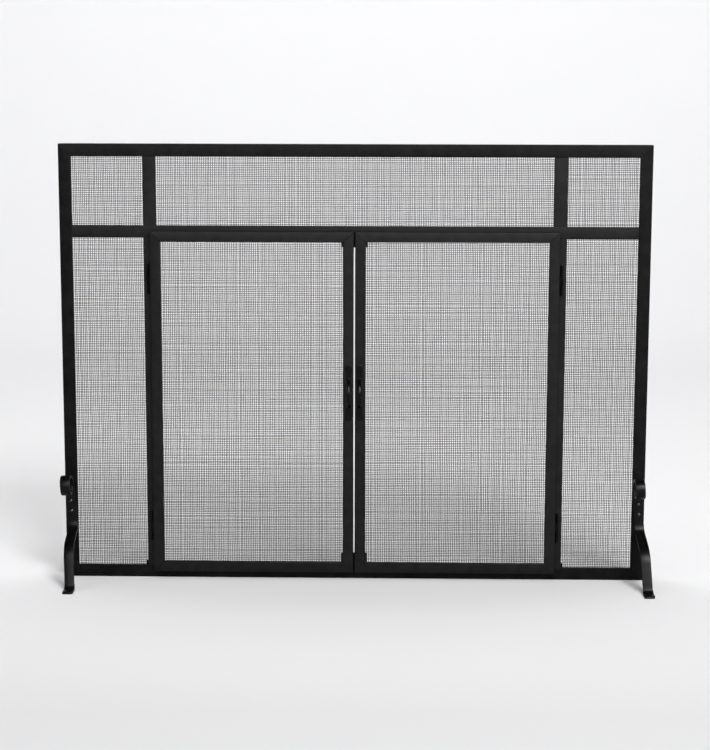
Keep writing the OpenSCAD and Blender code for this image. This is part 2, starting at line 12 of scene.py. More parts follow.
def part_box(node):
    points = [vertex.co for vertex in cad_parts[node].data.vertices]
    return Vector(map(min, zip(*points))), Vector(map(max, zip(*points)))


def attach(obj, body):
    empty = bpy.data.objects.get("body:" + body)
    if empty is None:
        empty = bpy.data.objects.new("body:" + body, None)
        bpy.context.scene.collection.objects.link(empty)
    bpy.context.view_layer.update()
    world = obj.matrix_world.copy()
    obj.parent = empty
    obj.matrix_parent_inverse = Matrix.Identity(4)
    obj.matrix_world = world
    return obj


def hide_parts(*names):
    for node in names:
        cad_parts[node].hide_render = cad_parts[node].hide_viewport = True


bl_info = {
    "name": "Fireplace Screen",
    "version": (1, 0, 0),
    "blender": (4, 5, 0),
    "location": "3D View > Sidebar > Fire Screen",
    "description": "Builds a flat fireplace screen with two doors round its packed frame",
    "category": "Add Mesh",
}

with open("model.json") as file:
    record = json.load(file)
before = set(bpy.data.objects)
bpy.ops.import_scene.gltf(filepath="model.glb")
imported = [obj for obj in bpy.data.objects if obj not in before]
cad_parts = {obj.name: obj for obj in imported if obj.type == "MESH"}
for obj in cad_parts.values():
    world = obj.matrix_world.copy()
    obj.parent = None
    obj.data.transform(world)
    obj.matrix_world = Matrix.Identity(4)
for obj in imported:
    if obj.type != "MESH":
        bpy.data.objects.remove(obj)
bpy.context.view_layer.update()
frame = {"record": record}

MM = 0.001
LEFT, RIGHT = -1, 1
SIDES = (("left", LEFT), ("right", RIGHT))
BODY_OF = {
    node: body
    for body, nodes in frame["record"]["behaviour"]["bodies"].items()
    for node in nodes
}
FIXED_BAYS = ("upper_left", "upper_centre", "upper_right", "side_left", "side_right")
BAYS = (*FIXED_BAYS, "left_door", "right_door")
EDGE_WEAR_AND_HIGHLIGHT_MASK = "edge_wear_and_highlight"
BAKE_MAP = "OFBake"


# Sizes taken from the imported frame, in millimetres


def box(node):
    """Lowest and highest corner of a node of the frame."""
    low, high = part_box(node)
    return np.array(low) / MM, np.array(high) / MM


FRAME_LOW, FRAME_HIGH = box("bottom_rail")[0], box("top_rail")[1]
FRONT_Y = FRAME_LOW[1]
BAR_T = box("transom")[1][1] - FRONT_Y
STILE_W = box("left_stile")[1][0] - FRAME_LOW[0]


# Meshes


def arc(centre, radius, start, end, steps):
    """Points on an arc from one angle to another, in degrees, as rows of two numbers."""
    angles = np.radians(np.linspace(start, end, steps + 1))
    return np.array(centre) + radius * np.column_stack([np.cos(angles), np.sin(angles)])


def rounded_outline(corners, radii, steps=4):
    """A closed outline whose corners are rounded. Corners run anticlockwise."""
    corners = np.array(corners, float)
    count = len(corners)
    made = []
    for i in range(count):
        here, radius = corners[i], radii[i]
        back = corners[i - 1] - here
        ahead = corners[(i + 1) % count] - here
        back, ahead = back / np.linalg.norm(back), ahead / np.linalg.norm(ahead)
        if radius <= 0:
            made.append(here[None, :])
            continue
        half = math.acos(np.clip(back @ ahead, -1, 1)) / 2
        reach = radius / math.tan(half)
        bisector = (back + ahead) / np.linalg.norm(back + ahead)
        centre = here + bisector * radius / math.sin(half)
        start, end = here + back * reach - centre, here + ahead * reach - centre
        first = math.degrees(math.atan2(start[1], start[0]))
        turn = math.degrees(math.atan2(end[1], end[0])) - first
        turn = (turn + 180) % 360 - 180
        made.append(arc(centre, radius, first, first + turn, steps))
    return np.vstack(made)


def inset(outline, distance):
    """Moves each point of a closed anticlockwise outline inwards."""
    ahead = np.roll(outline, -1, 0) - outline
    ahead /= np.maximum(np.linalg.norm(ahead, axis=1, keepdims=True), 1e-9)
    back = np.roll(ahead, 1, 0)
    normal = np.column_stack([-(ahead + back)[:, 1], (ahead + back)[:, 0]])
    length = np.maximum(np.linalg.norm(normal, axis=1, keepdims=True), 1e-9)
    stretch = np.clip(2 / length, 1, 1.5)
    return outline + normal / length * stretch * distance


class Shell:
    """Collects closed surfaces in millimetres, to be made into one piece."""

    def __init__(self):
        self.points = []
        self.faces = []
        self.count = 0

    def loft(self, rings, loop=False):
        """Joins rings of equal size by quads, with a face over each end unless it is a loop."""
        rings = np.asarray(rings, float)
        count, size = rings.shape[:2]
        first = self.count
        self.points.append(rings.reshape(-1, 3))
        self.count += count * size
        i = np.arange(count if loop else count - 1)[:, None]
        j = np.arange(size)[None, :]
        near, far = first + i * size, first + (i + 1) % count * size
        beside = (j + 1) % size
        quads = np.stack([near + j, near + beside, far + beside, far + j], -1)
        self.faces += quads.reshape(-1, 4).tolist()
        if not loop:
            self.faces.append(list(range(first + size - 1, first - 1, -1)))
            self.faces.append(list(range(first + (count - 1) * size, first + count * size)))

    def slab(self, outline, depth, ease, place, steps=3):
        """A flat plate with eased edges. place turns (u, v, depth) rows into points."""
        rings = []
        for angle in np.linspace(0, math.pi / 2, steps + 1):
            rings.append((ease * (1 - math.sin(angle)), ease * (1 - math.cos(angle))))
        rings += [(margin, depth - down) for margin, down in reversed(rings)]
        self.loft(
            [
                place(np.column_stack([inset(outline, margin), np.full(len(outline), down)]))
                for margin, down in rings
            ]
        )

    def block(self, low, high, radius, ease):
        """A flat bar or plate with its face on Y, rounded corners and eased edges."""
        low, high = np.array(low, float), np.array(high, float)
        corners = [
            (low[0], low[2]),
            (high[0], low[2]),
            (high[0], high[2]),
            (low[0], high[2]),
        ]
        outline = rounded_outline(corners, [radius] * 4)
        self.slab(
            outline,
            high[1] - low[1],
            ease,
            lambda p: np.column_stack([p[:, 0], low[1] + p[:, 2], p[:, 1]]),
        )

    def turned(self, profile, place, segments=32, loop=False):
        """Turns (radius, height, outline) rows about an axis, each outline a share of angle."""
        angles = np.linspace(0, 2 * math.pi, segments, endpoint=False)
        rings = []
        for radius, height, outline in profile:
            r = radius * (outline(angles) if outline else np.ones(segments))
            ring = [r * np.cos(angles), r * np.sin(angles), np.full(segments, height)]
            rings.append(place(np.column_stack(ring)))
        self.loft(rings, loop)


def hexagon(angles):
    """Share of the corner radius that a hexagon has at each angle."""
    sixth = math.pi / 3
    return math.cos(sixth / 2) / np.cos(angles % sixth - sixth / 2)


# This mask marks the outward edges both for rubbed paint and for a painted highlight along them.
def rubbed_and_highlit_edges(made):
    """How sharply the surface bends outwards at each vertex, from 0 to 1."""
    full = math.radians(40)
    made.verts.ensure_lookup_table()
    mask = np.zeros(len(made.verts), np.float32)
    for edge in made.edges:
        if len(edge.link_faces) == 2:
            bend = min(1.0, max(0.0, edge.calc_face_angle_signed(0.0)) / full)
            for vertex in edge.verts:
                mask[vertex.index] = max(mask[vertex.index], bend)
    return mask


def finish_piece(mesh, name, material, nodes):
    """Puts a finished mesh in the scene as the piece that stands for these nodes."""
    piece = bpy.data.objects.new(name, mesh)
    bpy.context.scene.collection.objects.link(piece)
    mesh.materials.append(material)
    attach(piece, BODY_OF[nodes[0]])
    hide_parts(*nodes)
    return piece


def piece_from(shell, name, material, nodes, crease=38):
    """Makes one piece from a shell, with smooth faces and hard creases."""
    mesh = bpy.data.meshes.new(name)
    points = np.vstack(shell.points) * MM
    mesh.from_pydata(points.tolist(), [], shell.faces)
    made = bmesh.new()
    made.from_mesh(mesh)
    bmesh.ops.recalc_face_normals(made, faces=made.faces)
    mask = rubbed_and_highlit_edges(made)
    made.to_mesh(mesh)
    made.free()
    mesh.attributes.new(EDGE_WEAR_AND_HIGHLIGHT_MASK, "FLOAT", "POINT").data.foreach_set("value", mask)
    mesh.polygons.foreach_set("use_smooth", np.ones(len(mesh.polygons), bool))
    mesh.set_sharp_from_angle(angle=math.radians(crease))
    return finish_piece(mesh, name, material, nodes)


# Bars


def angle_section(width, depth, thick, roll):
    """Section of a rolled angle: (back from the face, in from the outer edge)."""
    ease = 0.25 * thick
    return rounded_outline(
        [(0, 0), (depth, 0), (depth, thick), (thick, thick), (thick, width), (0, width)],
        [roll, ease, ease, 0.6 * thick, ease, roll],
        5,
    )


def flat_section(width, thick, roll):
    """Section of a flat bar with rolled front edges: (back from the face, across)."""
    ease = 0.2 * thick
    return rounded_outline(
        [(0, 0), (thick, 0), (thick, width), (0, width)], [roll, ease, ease, roll], 5
    )


def add_angle_side(shell, low, high, side, section, gap):
    """One mitred side of a rectangle of angle, between two corners of its outer box."""
    depth, across = section[:, 0], section[:, 1]
    along = 2 if side in ("left", "right") else 0
    over = 0 if along == 2 else 2
    start, end = low[along] + across, high[along] - across
    edge = low[over] + across if side in ("left", "bottom") else high[over] - across
    ease = 0.35
    rings = []
    for place, sunk in (
        (start + gap, ease),
        (start + gap + ease, 0),
        (end - gap - ease, 0),
        (end - gap, ease),
    ):
        ring = np.empty((len(section), 3))
        ring[:, along] = place
        ring[:, over] = edge
        ring[:, 1] = low[1] + depth + sunk * np.exp(-depth) * (depth < 0.5 * BAR_T)
        rings.append(ring)
    shell.loft(rings)


def add_flat_bar(shell, low, high, along, section):
    """A flat bar with square ends, its length along X or Z."""
    over = 2 - along
    rings = []
    for share in (0, 1):
        ring = np.empty((len(section), 3))
        ring[:, along] = low[along] + share * (high[along] - low[along])
        ring[:, over] = low[over] + section[:, 1]
        ring[:, 1] = low[1] + section[:, 0]
        rings.append(ring)
    shell.loft(rings)


# Finishes


class Nodes:
    """Adds and links shader nodes in one tree."""

    def __init__(self, tree):
        self.tree = tree

    def add(self, kind, inputs=(), **settings):
        """A new node, its inputs linked to sockets or set to values."""
        node = self.tree.nodes.new(kind)
        for key, value in settings.items():
            setattr(node, key, value)
        for key, value in dict(inputs).items():
            if isinstance(value, bpy.types.NodeSocket):
                self.tree.links.new(value, node.inputs[key])
            else:
                node.inputs[key].default_value = value
        return node

    def math(self, operation, *values, clamp=False):
        """Arithmetic on sockets or numbers."""
        inputs = dict(enumerate(values))
        return self.add("ShaderNodeMath", inputs, operation=operation, use_clamp=clamp).outputs[0]

    def remap(self, value, low, high, to_low, to_high):
        """Carries one range of a value to another and stops at its ends."""
        inputs = {0: value, 1: low, 2: high, 3: to_low, 4: to_high}
        return self.add("ShaderNodeMapRange", inputs).outputs[0]

    def mix(self, share, first, second):
        """Two colours blended by a share."""
        inputs = {0: share, 6: first, 7: second}
        return self.add("ShaderNodeMix", inputs, data_type="RGBA").outputs[2]

    def noise(self, place, scale, detail=2.0, roughness=0.5):
        """Soft patches, their scale in patches per metre."""
        inputs = {"Vector": place, "Scale": scale, "Detail": detail, "Roughness": roughness}
        return self.add("ShaderNodeTexNoise", inputs).outputs["Fac"]

    def group(self, build, inputs):
        """A node for one of the shader groups below."""
        return self.add("ShaderNodeGroup", inputs, node_tree=group_once(build)).outputs

    def bump(self, height, strength, distance):
        """A normal tilted by a height, its depth in metres."""
        inputs = {"Height": height, "Strength": strength, "Distance": distance}
        return self.add("ShaderNodeBump", inputs).outputs[0]

    def surface(self, inputs):
        """The shader that the material ends in."""
        shader = self.add("ShaderNodeBsdfPrincipled", inputs)
        self.add("ShaderNodeOutputMaterial", {"Surface": shader.outputs[0]})


def opaque(colour):
    """A colour with its alpha, for a shader socket."""
    return tuple(colour) + (1.0,)


def new_group(name, inputs, outputs):
    """An empty shader group with named inputs and outputs."""
    tree = bpy.data.node_groups.new(name, "ShaderNodeTree")
    for label, kind, default in inputs:
        socket = tree.interface.new_socket(name=label, in_out="INPUT", socket_type=kind)
        socket.default_value = default
    for label, kind in outputs:
        tree.interface.new_socket(name=label, in_out="OUTPUT", socket_type=kind)
    nodes = Nodes(tree)
    return tree, nodes, nodes.add("NodeGroupInput").outputs


def paint_grain_group():
    """Fine orange peel, broad cloudiness and the height of both."""
    number = "NodeSocketFloat"
    tree, nodes, given = new_group(
        "Paint grain",
        [("Grain per metre", number, 900.0), ("Cloud per metre", number, 14.0)],
        [("Grain", number), ("Cloud", number), ("Height", number)],
    )
    place = nodes.add("ShaderNodeTexCoord").outputs["Object"]
    grain = nodes.noise(place, given["Grain per metre"], 3.0, 0.55)
    cloud = nodes.noise(place, given["Cloud per metre"], 4.0, 0.6)
    ripple = nodes.noise(place, 60.0, 2.0)
    fine, broad = nodes.math("MULTIPLY", grain, 0.6), nodes.math("MULTIPLY", ripple, 0.8)
    height = nodes.math("ADD", fine, broad)
    nodes.add("NodeGroupOutput", {"Grain": grain, "Cloud": cloud, "Height": height})
    return tree


def rubbed_and_highlit_edges_group():
    """Where the edges are rubbed and where a highlight is painted along them: the mesh's own edge
    mask, broken up by noise.
    """
    number = "NodeSocketFloat"
    tree, nodes, given = new_group(
        "Rubbed edges and painted highlight",
        [("Amount", number, 0.5), ("Patches per metre", number, 45.0)],
        [("Rubbed and highlit", number)],
    )
    place = nodes.add("ShaderNodeTexCoord").outputs["Object"]
    edge = nodes.add("ShaderNodeAttribute", attribute_name=EDGE_WEAR_AND_HIGHLIGHT_MASK).outputs["Fac"]
    patches = nodes.noise(place, given["Patches per metre"], 5.0, 0.65)
    patches = nodes.remap(patches, 0.35, 0.75, 0.0, 1.0)
    rubbed_and_highlit = nodes.math("MULTIPLY", nodes.math("MULTIPLY", edge, patches), given["Amount"])
    nodes.add("NodeGroupOutput", {"Rubbed and highlit": rubbed_and_highlit})
    return tree


def dust_group():
    """A thin layer of dust that lies on what faces up."""
    number = "NodeSocketFloat"
    tree, nodes, given = new_group("Dust", [("Amount", number, 0.1)], [("Dust", number)])
    coordinates = nodes.add("ShaderNodeTexCoord").outputs
    up = nodes.add("ShaderNodeSeparateXYZ", {0: coordinates["Normal"]}).outputs["Z"]
    lying = nodes.remap(up, 0.55, 1.0, 0.0, 1.0)
    patches = nodes.noise(coordinates["Object"], 120.0, 4.0, 0.6)
    dust = nodes.math("MULTIPLY", nodes.math("MULTIPLY", lying, patches), given["Amount"])
    nodes.add("NodeGroupOutput", {"Dust": dust})
    return tree


GROUP_NAMES = {paint_grain_group: "Paint grain", rubbed_and_highlit_edges_group: "Rubbed edges and painted highlight", dust_group: "Dust"}


def group_once(build):
    """The node group that a builder makes, built the first time it is wanted."""
    return bpy.data.node_groups.get(GROUP_NAMES[build]) or build()


def new_material(name):
    material = bpy.data.materials.new(name)
    material.use_nodes = True
    material.node_tree.nodes.clear()
    return material, Nodes(material.node_tree)


def grain_node(nodes, grain, cloud):
    """The paint grain group at two scales, in patches per metre."""
    return nodes.group(paint_grain_group, {"Grain per metre": grain, "Cloud per metre": cloud})


def painted(name, look):
    """Black stove paint over steel."""
    found = bpy.data.materials.get(name)
    if found:
        return found
    finish = bpy.context.scene.fire_screen_finish
    material, nodes = new_material(name)
    grain = grain_node(nodes, look["grain"], look["cloud"])
    # The edges are made lighter, partly as rubbed paint and partly as a painted highlight.
    rubbed_and_highlit = nodes.group(rubbed_and_highlit_edges_group, {"Amount": look["wear"]})["Rubbed and highlit"]
    dust = nodes.group(dust_group, {"Amount": look["dust"]})["Dust"]
    base = np.array(finish.paint_colour) * look["tone"]
    cloud = nodes.remap(grain["Cloud"], 0.3, 0.7, 0.0, 1.0)
    colour = nodes.mix(cloud, opaque(base * 0.75), opaque(base * 1.7))
    colour = nodes.mix(rubbed_and_highlit, colour, opaque(finish.rubbed_and_highlight_colour))
    colour = nodes.mix(dust, colour, opaque(finish.dust_colour))
    rough = nodes.remap(grain["Cloud"], 0.3, 0.7, look["rough"] - 0.04, look["rough"] + 0.05)
    rough = nodes.math("ADD", rough, nodes.math("MULTIPLY", grain["Grain"], 0.05))
    rough = nodes.math("ADD", rough, nodes.math("MULTIPLY", dust, 0.5), clamp=True)
    nodes.surface(
        {
            "Base Color": colour,
            "Roughness": rough,
            "Normal": nodes.bump(grain["Height"], look["bump"], 0.0001),
            "Specular IOR Level": look["specular"],
        }
    )
    return material


# The paint of the bars: patches per metre of grain and cloud, how much of the edges is rubbed and
# lightened with a painted highlight and of the top dusted, tone, roughness, depth of the grain, and
# strength of reflection.
BAR_LOOK = {
    "grain": 1100.0,
    "cloud": 9.0,
    "wear": 0.35,
    "dust": 0.02,
    "tone": 1.0,
    "rough": 0.42,
    "bump": 0.25,
    "specular": 0.1,
}


def bar_look(**changes):
    """The look of the bars, with some of its values changed."""
    return {**BAR_LOOK, **changes}


# Every part has the same stove paint. Its strength of reflection is set part by part to paint shade
# and light: it is turned down on the outer frame's angle and the hinges to make them darker, and
# turned up on the flat bars, the door bars and the screws to make them lighter.
LOOKS = {
    "Black painted bar": bar_look(specular=0.065),
    "Black flat bar": bar_look(specular=0.13),
    "Black door bar": bar_look(specular=0.13),
    "Black painted clamp": bar_look(grain=900.0, rough=0.5, tone=0.9),
    "Black forged bar": bar_look(grain=500.0, cloud=25.0, rough=0.3, bump=0.4, specular=0.11),
    "Black forged handle": bar_look(grain=700.0, cloud=40.0, rough=0.22, bump=0.3, specular=0.11),
    "Black hinge": bar_look(grain=1400.0, cloud=60.0, rough=0.2, specular=0.06),
    "Black screw": bar_look(grain=1600.0, cloud=90.0, rough=0.22, specular=0.5),
}


def paint(name):
    return painted(name, LOOKS[name])


def wire_finish():
    """Black coated wire, with a little sheen and slight changes of tone along it."""
    name = "Black coated wire"
    found = bpy.data.materials.get(name)
    if found:
        return found
    material, nodes = new_material(name)
    grain = grain_node(nodes, 700.0, 30.0)
    base = np.array(bpy.context.scene.fire_screen_finish.wire_colour)
    cloud = nodes.remap(grain["Cloud"], 0.3, 0.7, 0.0, 1.0)
    nodes.surface(
        {
            "Base Color": nodes.mix(cloud, opaque(base * 0.7), opaque(base * 1.4)),
            "Roughness": nodes.remap(grain["Grain"], 0.2, 0.8, 0.32, 0.5),
            "Normal": nodes.bump(grain["Height"], 0.3, 0.00005),
            "Specular IOR Level": 0.3,
        }
    )
    return material


def bare_steel(name, colour, rough):
    """Zinc plated or nickel plated steel."""
    found = bpy.data.materials.get(name)
    if found:
        return found
    material, nodes = new_material(name)
    grain = grain_node(nodes, 1500.0, 220.0)
    # The edges are made lighter, partly as rubbed plating and partly as a painted highlight.
    rubbed_and_highlit = nodes.group(rubbed_and_highlit_edges_group, {"Amount": 0.6})["Rubbed and highlit"]
    base = np.array(colour)
    cloud = nodes.remap(grain["Cloud"], 0.3, 0.7, 0.0, 1.0)
    tone = nodes.mix(cloud, opaque(base * 0.75), opaque(base))
    nodes.surface(
        {
            "Base Color": nodes.mix(rubbed_and_highlit, tone, opaque(np.minimum(base * 1.35, 0.9))),
            "Roughness": nodes.remap(grain["Grain"], 0.25, 0.75, rough - 0.07, rough + 0.09),
            "Metallic": 1.0,
            "Normal": nodes.bump(grain["Height"], 0.25, 0.00006),
        }
    )
    return material


def zinc():
    return bare_steel("Zinc plated steel", (0.5, 0.51, 0.53), 0.34)


# Settings


def length(name, description, default, precision=5):
    """A length for the panel, in metres."""
    return bpy.props.FloatProperty(
        name=name,
        description=description,
        default=default,
        subtype="DISTANCE",
        unit="LENGTH",
        precision=precision,
    )


def tint(name, description, default):
    """A colour for the panel."""
    return bpy.props.FloatVectorProperty(
        name=name, description=description, subtype="COLOR", default=default
    )


class FireScreenSizes(bpy.types.PropertyGroup):
    """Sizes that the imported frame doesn't give."""

    wire_diameter: length("Wire diameter", "Diameter of the woven wire", 0.00105)
    wire_pitch: length("Wire pitch", "Distance from wire to wire", 0.003457, 6)
    wander: length("Wander", "How far the wires stray from straight lines", 0.0005)
    roll_radius: length("Rolled edge", "Radius of the rolled edges of the bars", 0.001)
    mitre_gap: length("Mitre line", "Half the width of the fine line in a joint", 0.00006, 6)
    leg_edge: length("Leg edge", "Radius of the softened edges of the legs", 0.0009)


class FireScreenFinish(bpy.types.PropertyGroup):
    """Colours of the screen and of its stage."""

    paint_colour: tint("Paint", "Colour of the stove paint", (0.0009, 0.0009, 0.00095))
    # The rubbed edges' colour also paints a highlight along them.
    rubbed_and_highlight_colour: tint("Rubbed edge and painted highlight", "Colour of the rubbed paint and the painted edge highlight", (0.02, 0.0195, 0.019))
    dust_colour: tint("Dust", "Colour of the dust on the paint", (0.12, 0.115, 0.105))
    wire_colour: tint("Wire", "Colour of the coated wire", (0.006, 0.006, 0.0062))
    stage_colour: tint("Stage", "Colour of the floor and the backdrop", (0.92, 0.92, 0.93))


def sizes(name):
    """A size from the panel, in millimetres."""
    return getattr(bpy.context.scene.fire_screen_sizes, name) / MM


# Frame


class FIRESCREEN_OT_frame_bars(bpy.types.Operator):
    """Stiles, rails, transom, mullions and weld tabs of the fixed frame"""

    bl_idname = "firescreen.frame_bars"
    bl_label = "Frame bars"

    def execute(self, context):
        depth = FRAME_HIGH[1] - FRAME_LOW[1]
        roll, gap = sizes("roll_radius"), sizes("mitre_gap")
        section = angle_section(STILE_W, depth, BAR_T, roll)
        for node, side in (
            ("left_stile", "left"),
            ("right_stile", "right"),
            ("top_rail", "top"),
            ("bottom_rail", "bottom"),
        ):
            shell = Shell()
            add_angle_side(shell, FRAME_LOW, FRAME_HIGH, side, section, gap)
            piece_from(shell, node + "_bar", paint("Black painted bar"), [node])
        for node, along in (
            ("transom", 0),
            ("upper_left_mullion", 2),
            ("upper_right_mullion", 2),
            ("lower_left_mullion", 2),
            ("lower_right_mullion", 2),
        ):
            low, high = box(node)
            width = high[2 - along] - low[2 - along]
            shell = Shell()
            add_flat_bar(shell, low, high, along, flat_section(width, BAR_T, roll))
            piece_from(shell, node + "_bar", paint("Black flat bar"), [node])
        for node in ("left_mullion_tab", "right_mullion_tab"):
            shell = Shell()
            shell.block(*box(node), 0.8, 0.4)
            piece_from(shell, node + "_plate", paint("Black painted bar"), [node])
        return {"FINISHED"}


class FIRESCREEN_OT_door_bars(bpy.types.Operator):
    """The four mitred angles of each door"""

    bl_idname = "firescreen.door_bars"
    bl_label = "Door bars"

    def execute(self, context):
        roll, gap = sizes("roll_radius"), sizes("mitre_gap")
        for name, side in SIDES:
            low = np.minimum(box(name + "_door_bottom_rail")[0], box(name + "_door_top_rail")[0])
            high = np.maximum(box(name + "_door_bottom_rail")[1], box(name + "_door_top_rail")[1])
            first, last = box(name + "_door_hinge_stile")
            thick = box(name + "_door_mesh")[0][1] - low[1]
            section = angle_section(last[0] - first[0], high[1] - low[1], thick, roll)
            hinge, meeting = ("left", "right") if side == LEFT else ("right", "left")
            for part, where in (
                ("hinge_stile", hinge),
                ("meeting_stile", meeting),
                ("top_rail", "top"),
                ("bottom_rail", "bottom"),
            ):
                node = f"{name}_door_{part}"
                shell = Shell()
                add_angle_side(shell, low, high, where, section, gap)
                piece_from(shell, node + "_bar", paint("Black door bar"), [node])
        return {"FINISHED"}


# Mesh

# Spread of the wires' places and the margin they keep to a panel's edge, as shares of the pitch.
UNEVEN, EDGE_SHARE = 0.085, 0.2
# Slowest and quickest turn of each wave of a panel's drift, in radians per millimetre.
DRIFT_RATES = ((0.008, 0.03), (0.008, 0.03), (0.04, 0.09), (0.09, 0.2), (0.09, 0.2))


def grid_lines(low, high, pitch, draw):
    """Places of the wires across a panel, slightly uneven as woven wire is."""
    count = int((high - low - 2 * EDGE_SHARE * pitch) / pitch)
    first = (low + high - (count - 1) * pitch) / 2
    places = first + pitch * np.arange(count) + draw.normal(0, UNEVEN * pitch, count)
    return np.clip(places, low + EDGE_SHARE * pitch, high - EDGE_SHARE * pitch)


def wander_field(draw, amount):
    """A sideways drift over a panel, as a function of two coordinates."""
    waves = []
    for slowest, quickest in DRIFT_RATES:
        rates = draw.uniform(slowest, quickest, 2) * draw.choice([-1.0, 1.0], 2)
        waves.append((*rates, draw.uniform(0, 2 * math.pi)))

    def drift(across, along):
        total = sum(np.sin(a * across + b * along + c) for a, b, c in waves)
        return amount * total / len(waves)

    return drift


def wire_map(wires, rings, upright):
    """Where the quads of the wires lie on the map: each wire has its own lane, four fifths of it
    for its sides and the last for its ends."""
    i, k = np.arange(wires), np.arange(4)
    u = (np.arange(rings - 1)[None, :, None, None] + np.array([0, 0, 1, 1])) / (rings - 1)
    lane = (k[:, None] + np.array([0.05, 0.95, 0.95, 0.05])) / 5
    v = (i[:, None, None, None] + lane) / wires
    shape = (wires, rings - 1, 4, 4)
    sides = np.stack([np.broadcast_to(u, shape), np.broadcast_to(v, shape)], -1).reshape(-1, 2)
    top = np.array([[0, 0.82], [0.002, 0.82], [0.002, 0.98], [0, 0.98]])
    near = np.broadcast_to(top, (wires, 4, 2)).copy()
    near[..., 1] = (near[..., 1] + i[:, None]) / wires
    far = near + [0.5, 0]
    places = np.vstack([sides, near.reshape(-1, 2), far.reshape(-1, 2)])
    if not upright:
        places = places.reshape(-1, 4, 2)[:, ::-1].reshape(-1, 2)
    return places


def wire_set(fixed, crossed, middle, radius, upright, odd, drift):
    """Points and quads of the wires that run one way, four-sided, bent over and under."""
    wires, rings = len(fixed), len(crossed)
    i, j = np.arange(wires)[:, None], np.arange(rings)[None, :]
    over = np.where((i + j + odd) % 2 == 0, 1.0, -1.0) * radius
    across = fixed[:, None] + drift(fixed[:, None] * np.ones(rings), crossed[None, :])
    corner = np.array([[1, 0], [0, 1], [-1, 0], [0, -1]], float) * radius
    points = np.empty((wires, rings, 4, 3))
    sideways, lengthways = (0, 2) if upright else (2, 0)
    points[..., sideways] = across[..., None] + corner[:, 0]
    points[..., lengthways] = np.broadcast_to(crossed[None, :, None], (wires, rings, 4))
    points[..., 1] = middle + over[..., None] + corner[:, 1]
    k = np.arange(4)
    base = (i * rings + j)[:, :-1, None] * 4
    after = base + 4
    beside = (k + 1) % 4
    quads = np.stack([base + k, base + beside, after + beside, after + k], -1).reshape(-1, 4)
    start = (np.arange(wires) * rings * 4)[:, None]
    end = start + (rings - 1) * 4
    quads = np.vstack([quads, start + k[::-1], end + k])
    if not upright:
        quads = quads[:, ::-1]
    return points.reshape(-1, 3), quads


def wire_mesh(name, points, quads, places):
    """A mesh straight from arrays, with its own map for the finish."""
    mesh = bpy.data.meshes.new(name)
    mesh.vertices.add(len(points))
    mesh.vertices.foreach_set("co", (points * MM).astype(np.float32).ravel())
    mesh.loops.add(quads.size)
    mesh.loops.foreach_set("vertex_index", quads.astype(np.int32).ravel())
    mesh.polygons.add(len(quads))
    mesh.polygons.foreach_set("loop_start", np.arange(0, quads.size, 4, dtype=np.int32))
    mesh.polygons.foreach_set("use_smooth", np.ones(len(quads), bool))
    mesh.update(calc_edges=True)
    layer = mesh.uv_layers.new(name=BAKE_MAP)
    layer.uv.foreach_set("vector", places.astype(np.float32).ravel())
    mesh.validate()
    return mesh


class FIRESCREEN_OT_mesh_panels(bpy.types.Operator):
    """Woven wire cloth in every bay, upright and level wires as two pieces"""

    bl_idname = "firescreen.mesh_panels"
    bl_label = "Mesh panels"

    def execute(self, context):
        pitch, radius, wander = sizes("wire_pitch"), sizes("wire_diameter") / 2, sizes("wander")
        finish = wire_finish()
        for number, bay in enumerate(BAYS):
            node = bay + "_mesh"
            low, high = box(node)
            draw = np.random.default_rng(100 + number)
            upright = grid_lines(low[0], high[0], pitch, draw)
            level = grid_lines(low[2], high[2], pitch, draw)
            middle = (low[1] + high[1]) / 2
            for kind, fixed, crossed, odd in (
                ("upright", upright, level, 0),
                ("level", level, upright, 1),
            ):
                margin = 0.4 * radius
                over = 2 if kind == "upright" else 0
                crossed = np.concatenate(
                    [[low[over] + margin], crossed[1:-1], [high[over] - margin]]
                )
                drift = wander_field(draw, wander)
                runs_up = kind == "upright"
                points, quads = wire_set(fixed, crossed, middle, radius, runs_up, odd, drift)
                places = wire_map(len(fixed), len(crossed), runs_up)
                name = f"{bay}_{kind}_wires"
                mesh = wire_mesh(name, points, quads, places)
                finish_piece(mesh, name, finish, [node])
        return {"FINISHED"}


# Width of the clamp bars in the frame and in the doors, and the gap at the ends of the upright
# ones.
FRAME_CLAMP_W, DOOR_CLAMP_W, CLAMP_GAP = 7, 6, 0.5


class FIRESCREEN_OT_clamp_bars(bpy.types.Operator):
    """Flat bars behind the mesh, four to a bay"""

    bl_idname = "firescreen.clamp_bars"
    bl_label = "Clamp bars"

    def execute(self, context):
        for bay in BAYS:
            low, high = box(bay + "_clamps")
            wide = DOOR_CLAMP_W if "door" in bay else FRAME_CLAMP_W
            shell = Shell()
            for z in (low[2], high[2] - wide):
                shell.block((low[0], low[1], z), (high[0], high[1], z + wide), 0.8, 0.35)
            for x in (low[0], high[0] - wide):
                shell.block(
                    (x, low[1], low[2] + wide + CLAMP_GAP),
                    (x + wide, high[1], high[2] - wide - CLAMP_GAP),
                    0.5,
                    0.35,
                )
            name, node = bay + "_clamp_bars", bay + "_clamps"
            piece_from(shell, name, paint("Black painted clamp"), [node])
        return {"FINISHED"}


# Hinges

BARREL_R, PIN_R, LEAF_T, HINGE_LEN = 2.75, 1.5, 1.2, 55.0
# The pin's heads past each end of a hinge, its play in the door's knuckle, and the clearance
# between knuckles and beside the barrel.
HEAD_H, PIN_PLAY, SEAT = 1.5, 0.05, 0.3


def hinge_heights(name):
    """Middle heights of the two hinges of a door, and the axis they share."""
    low, high = box(name + "_hinge_pins")
    half = HINGE_LEN / 2 + HEAD_H
    axis = ((low[0] + high[0]) / 2, (low[1] + high[1]) / 2)
    return (low[2] + half, high[2] - half), axis


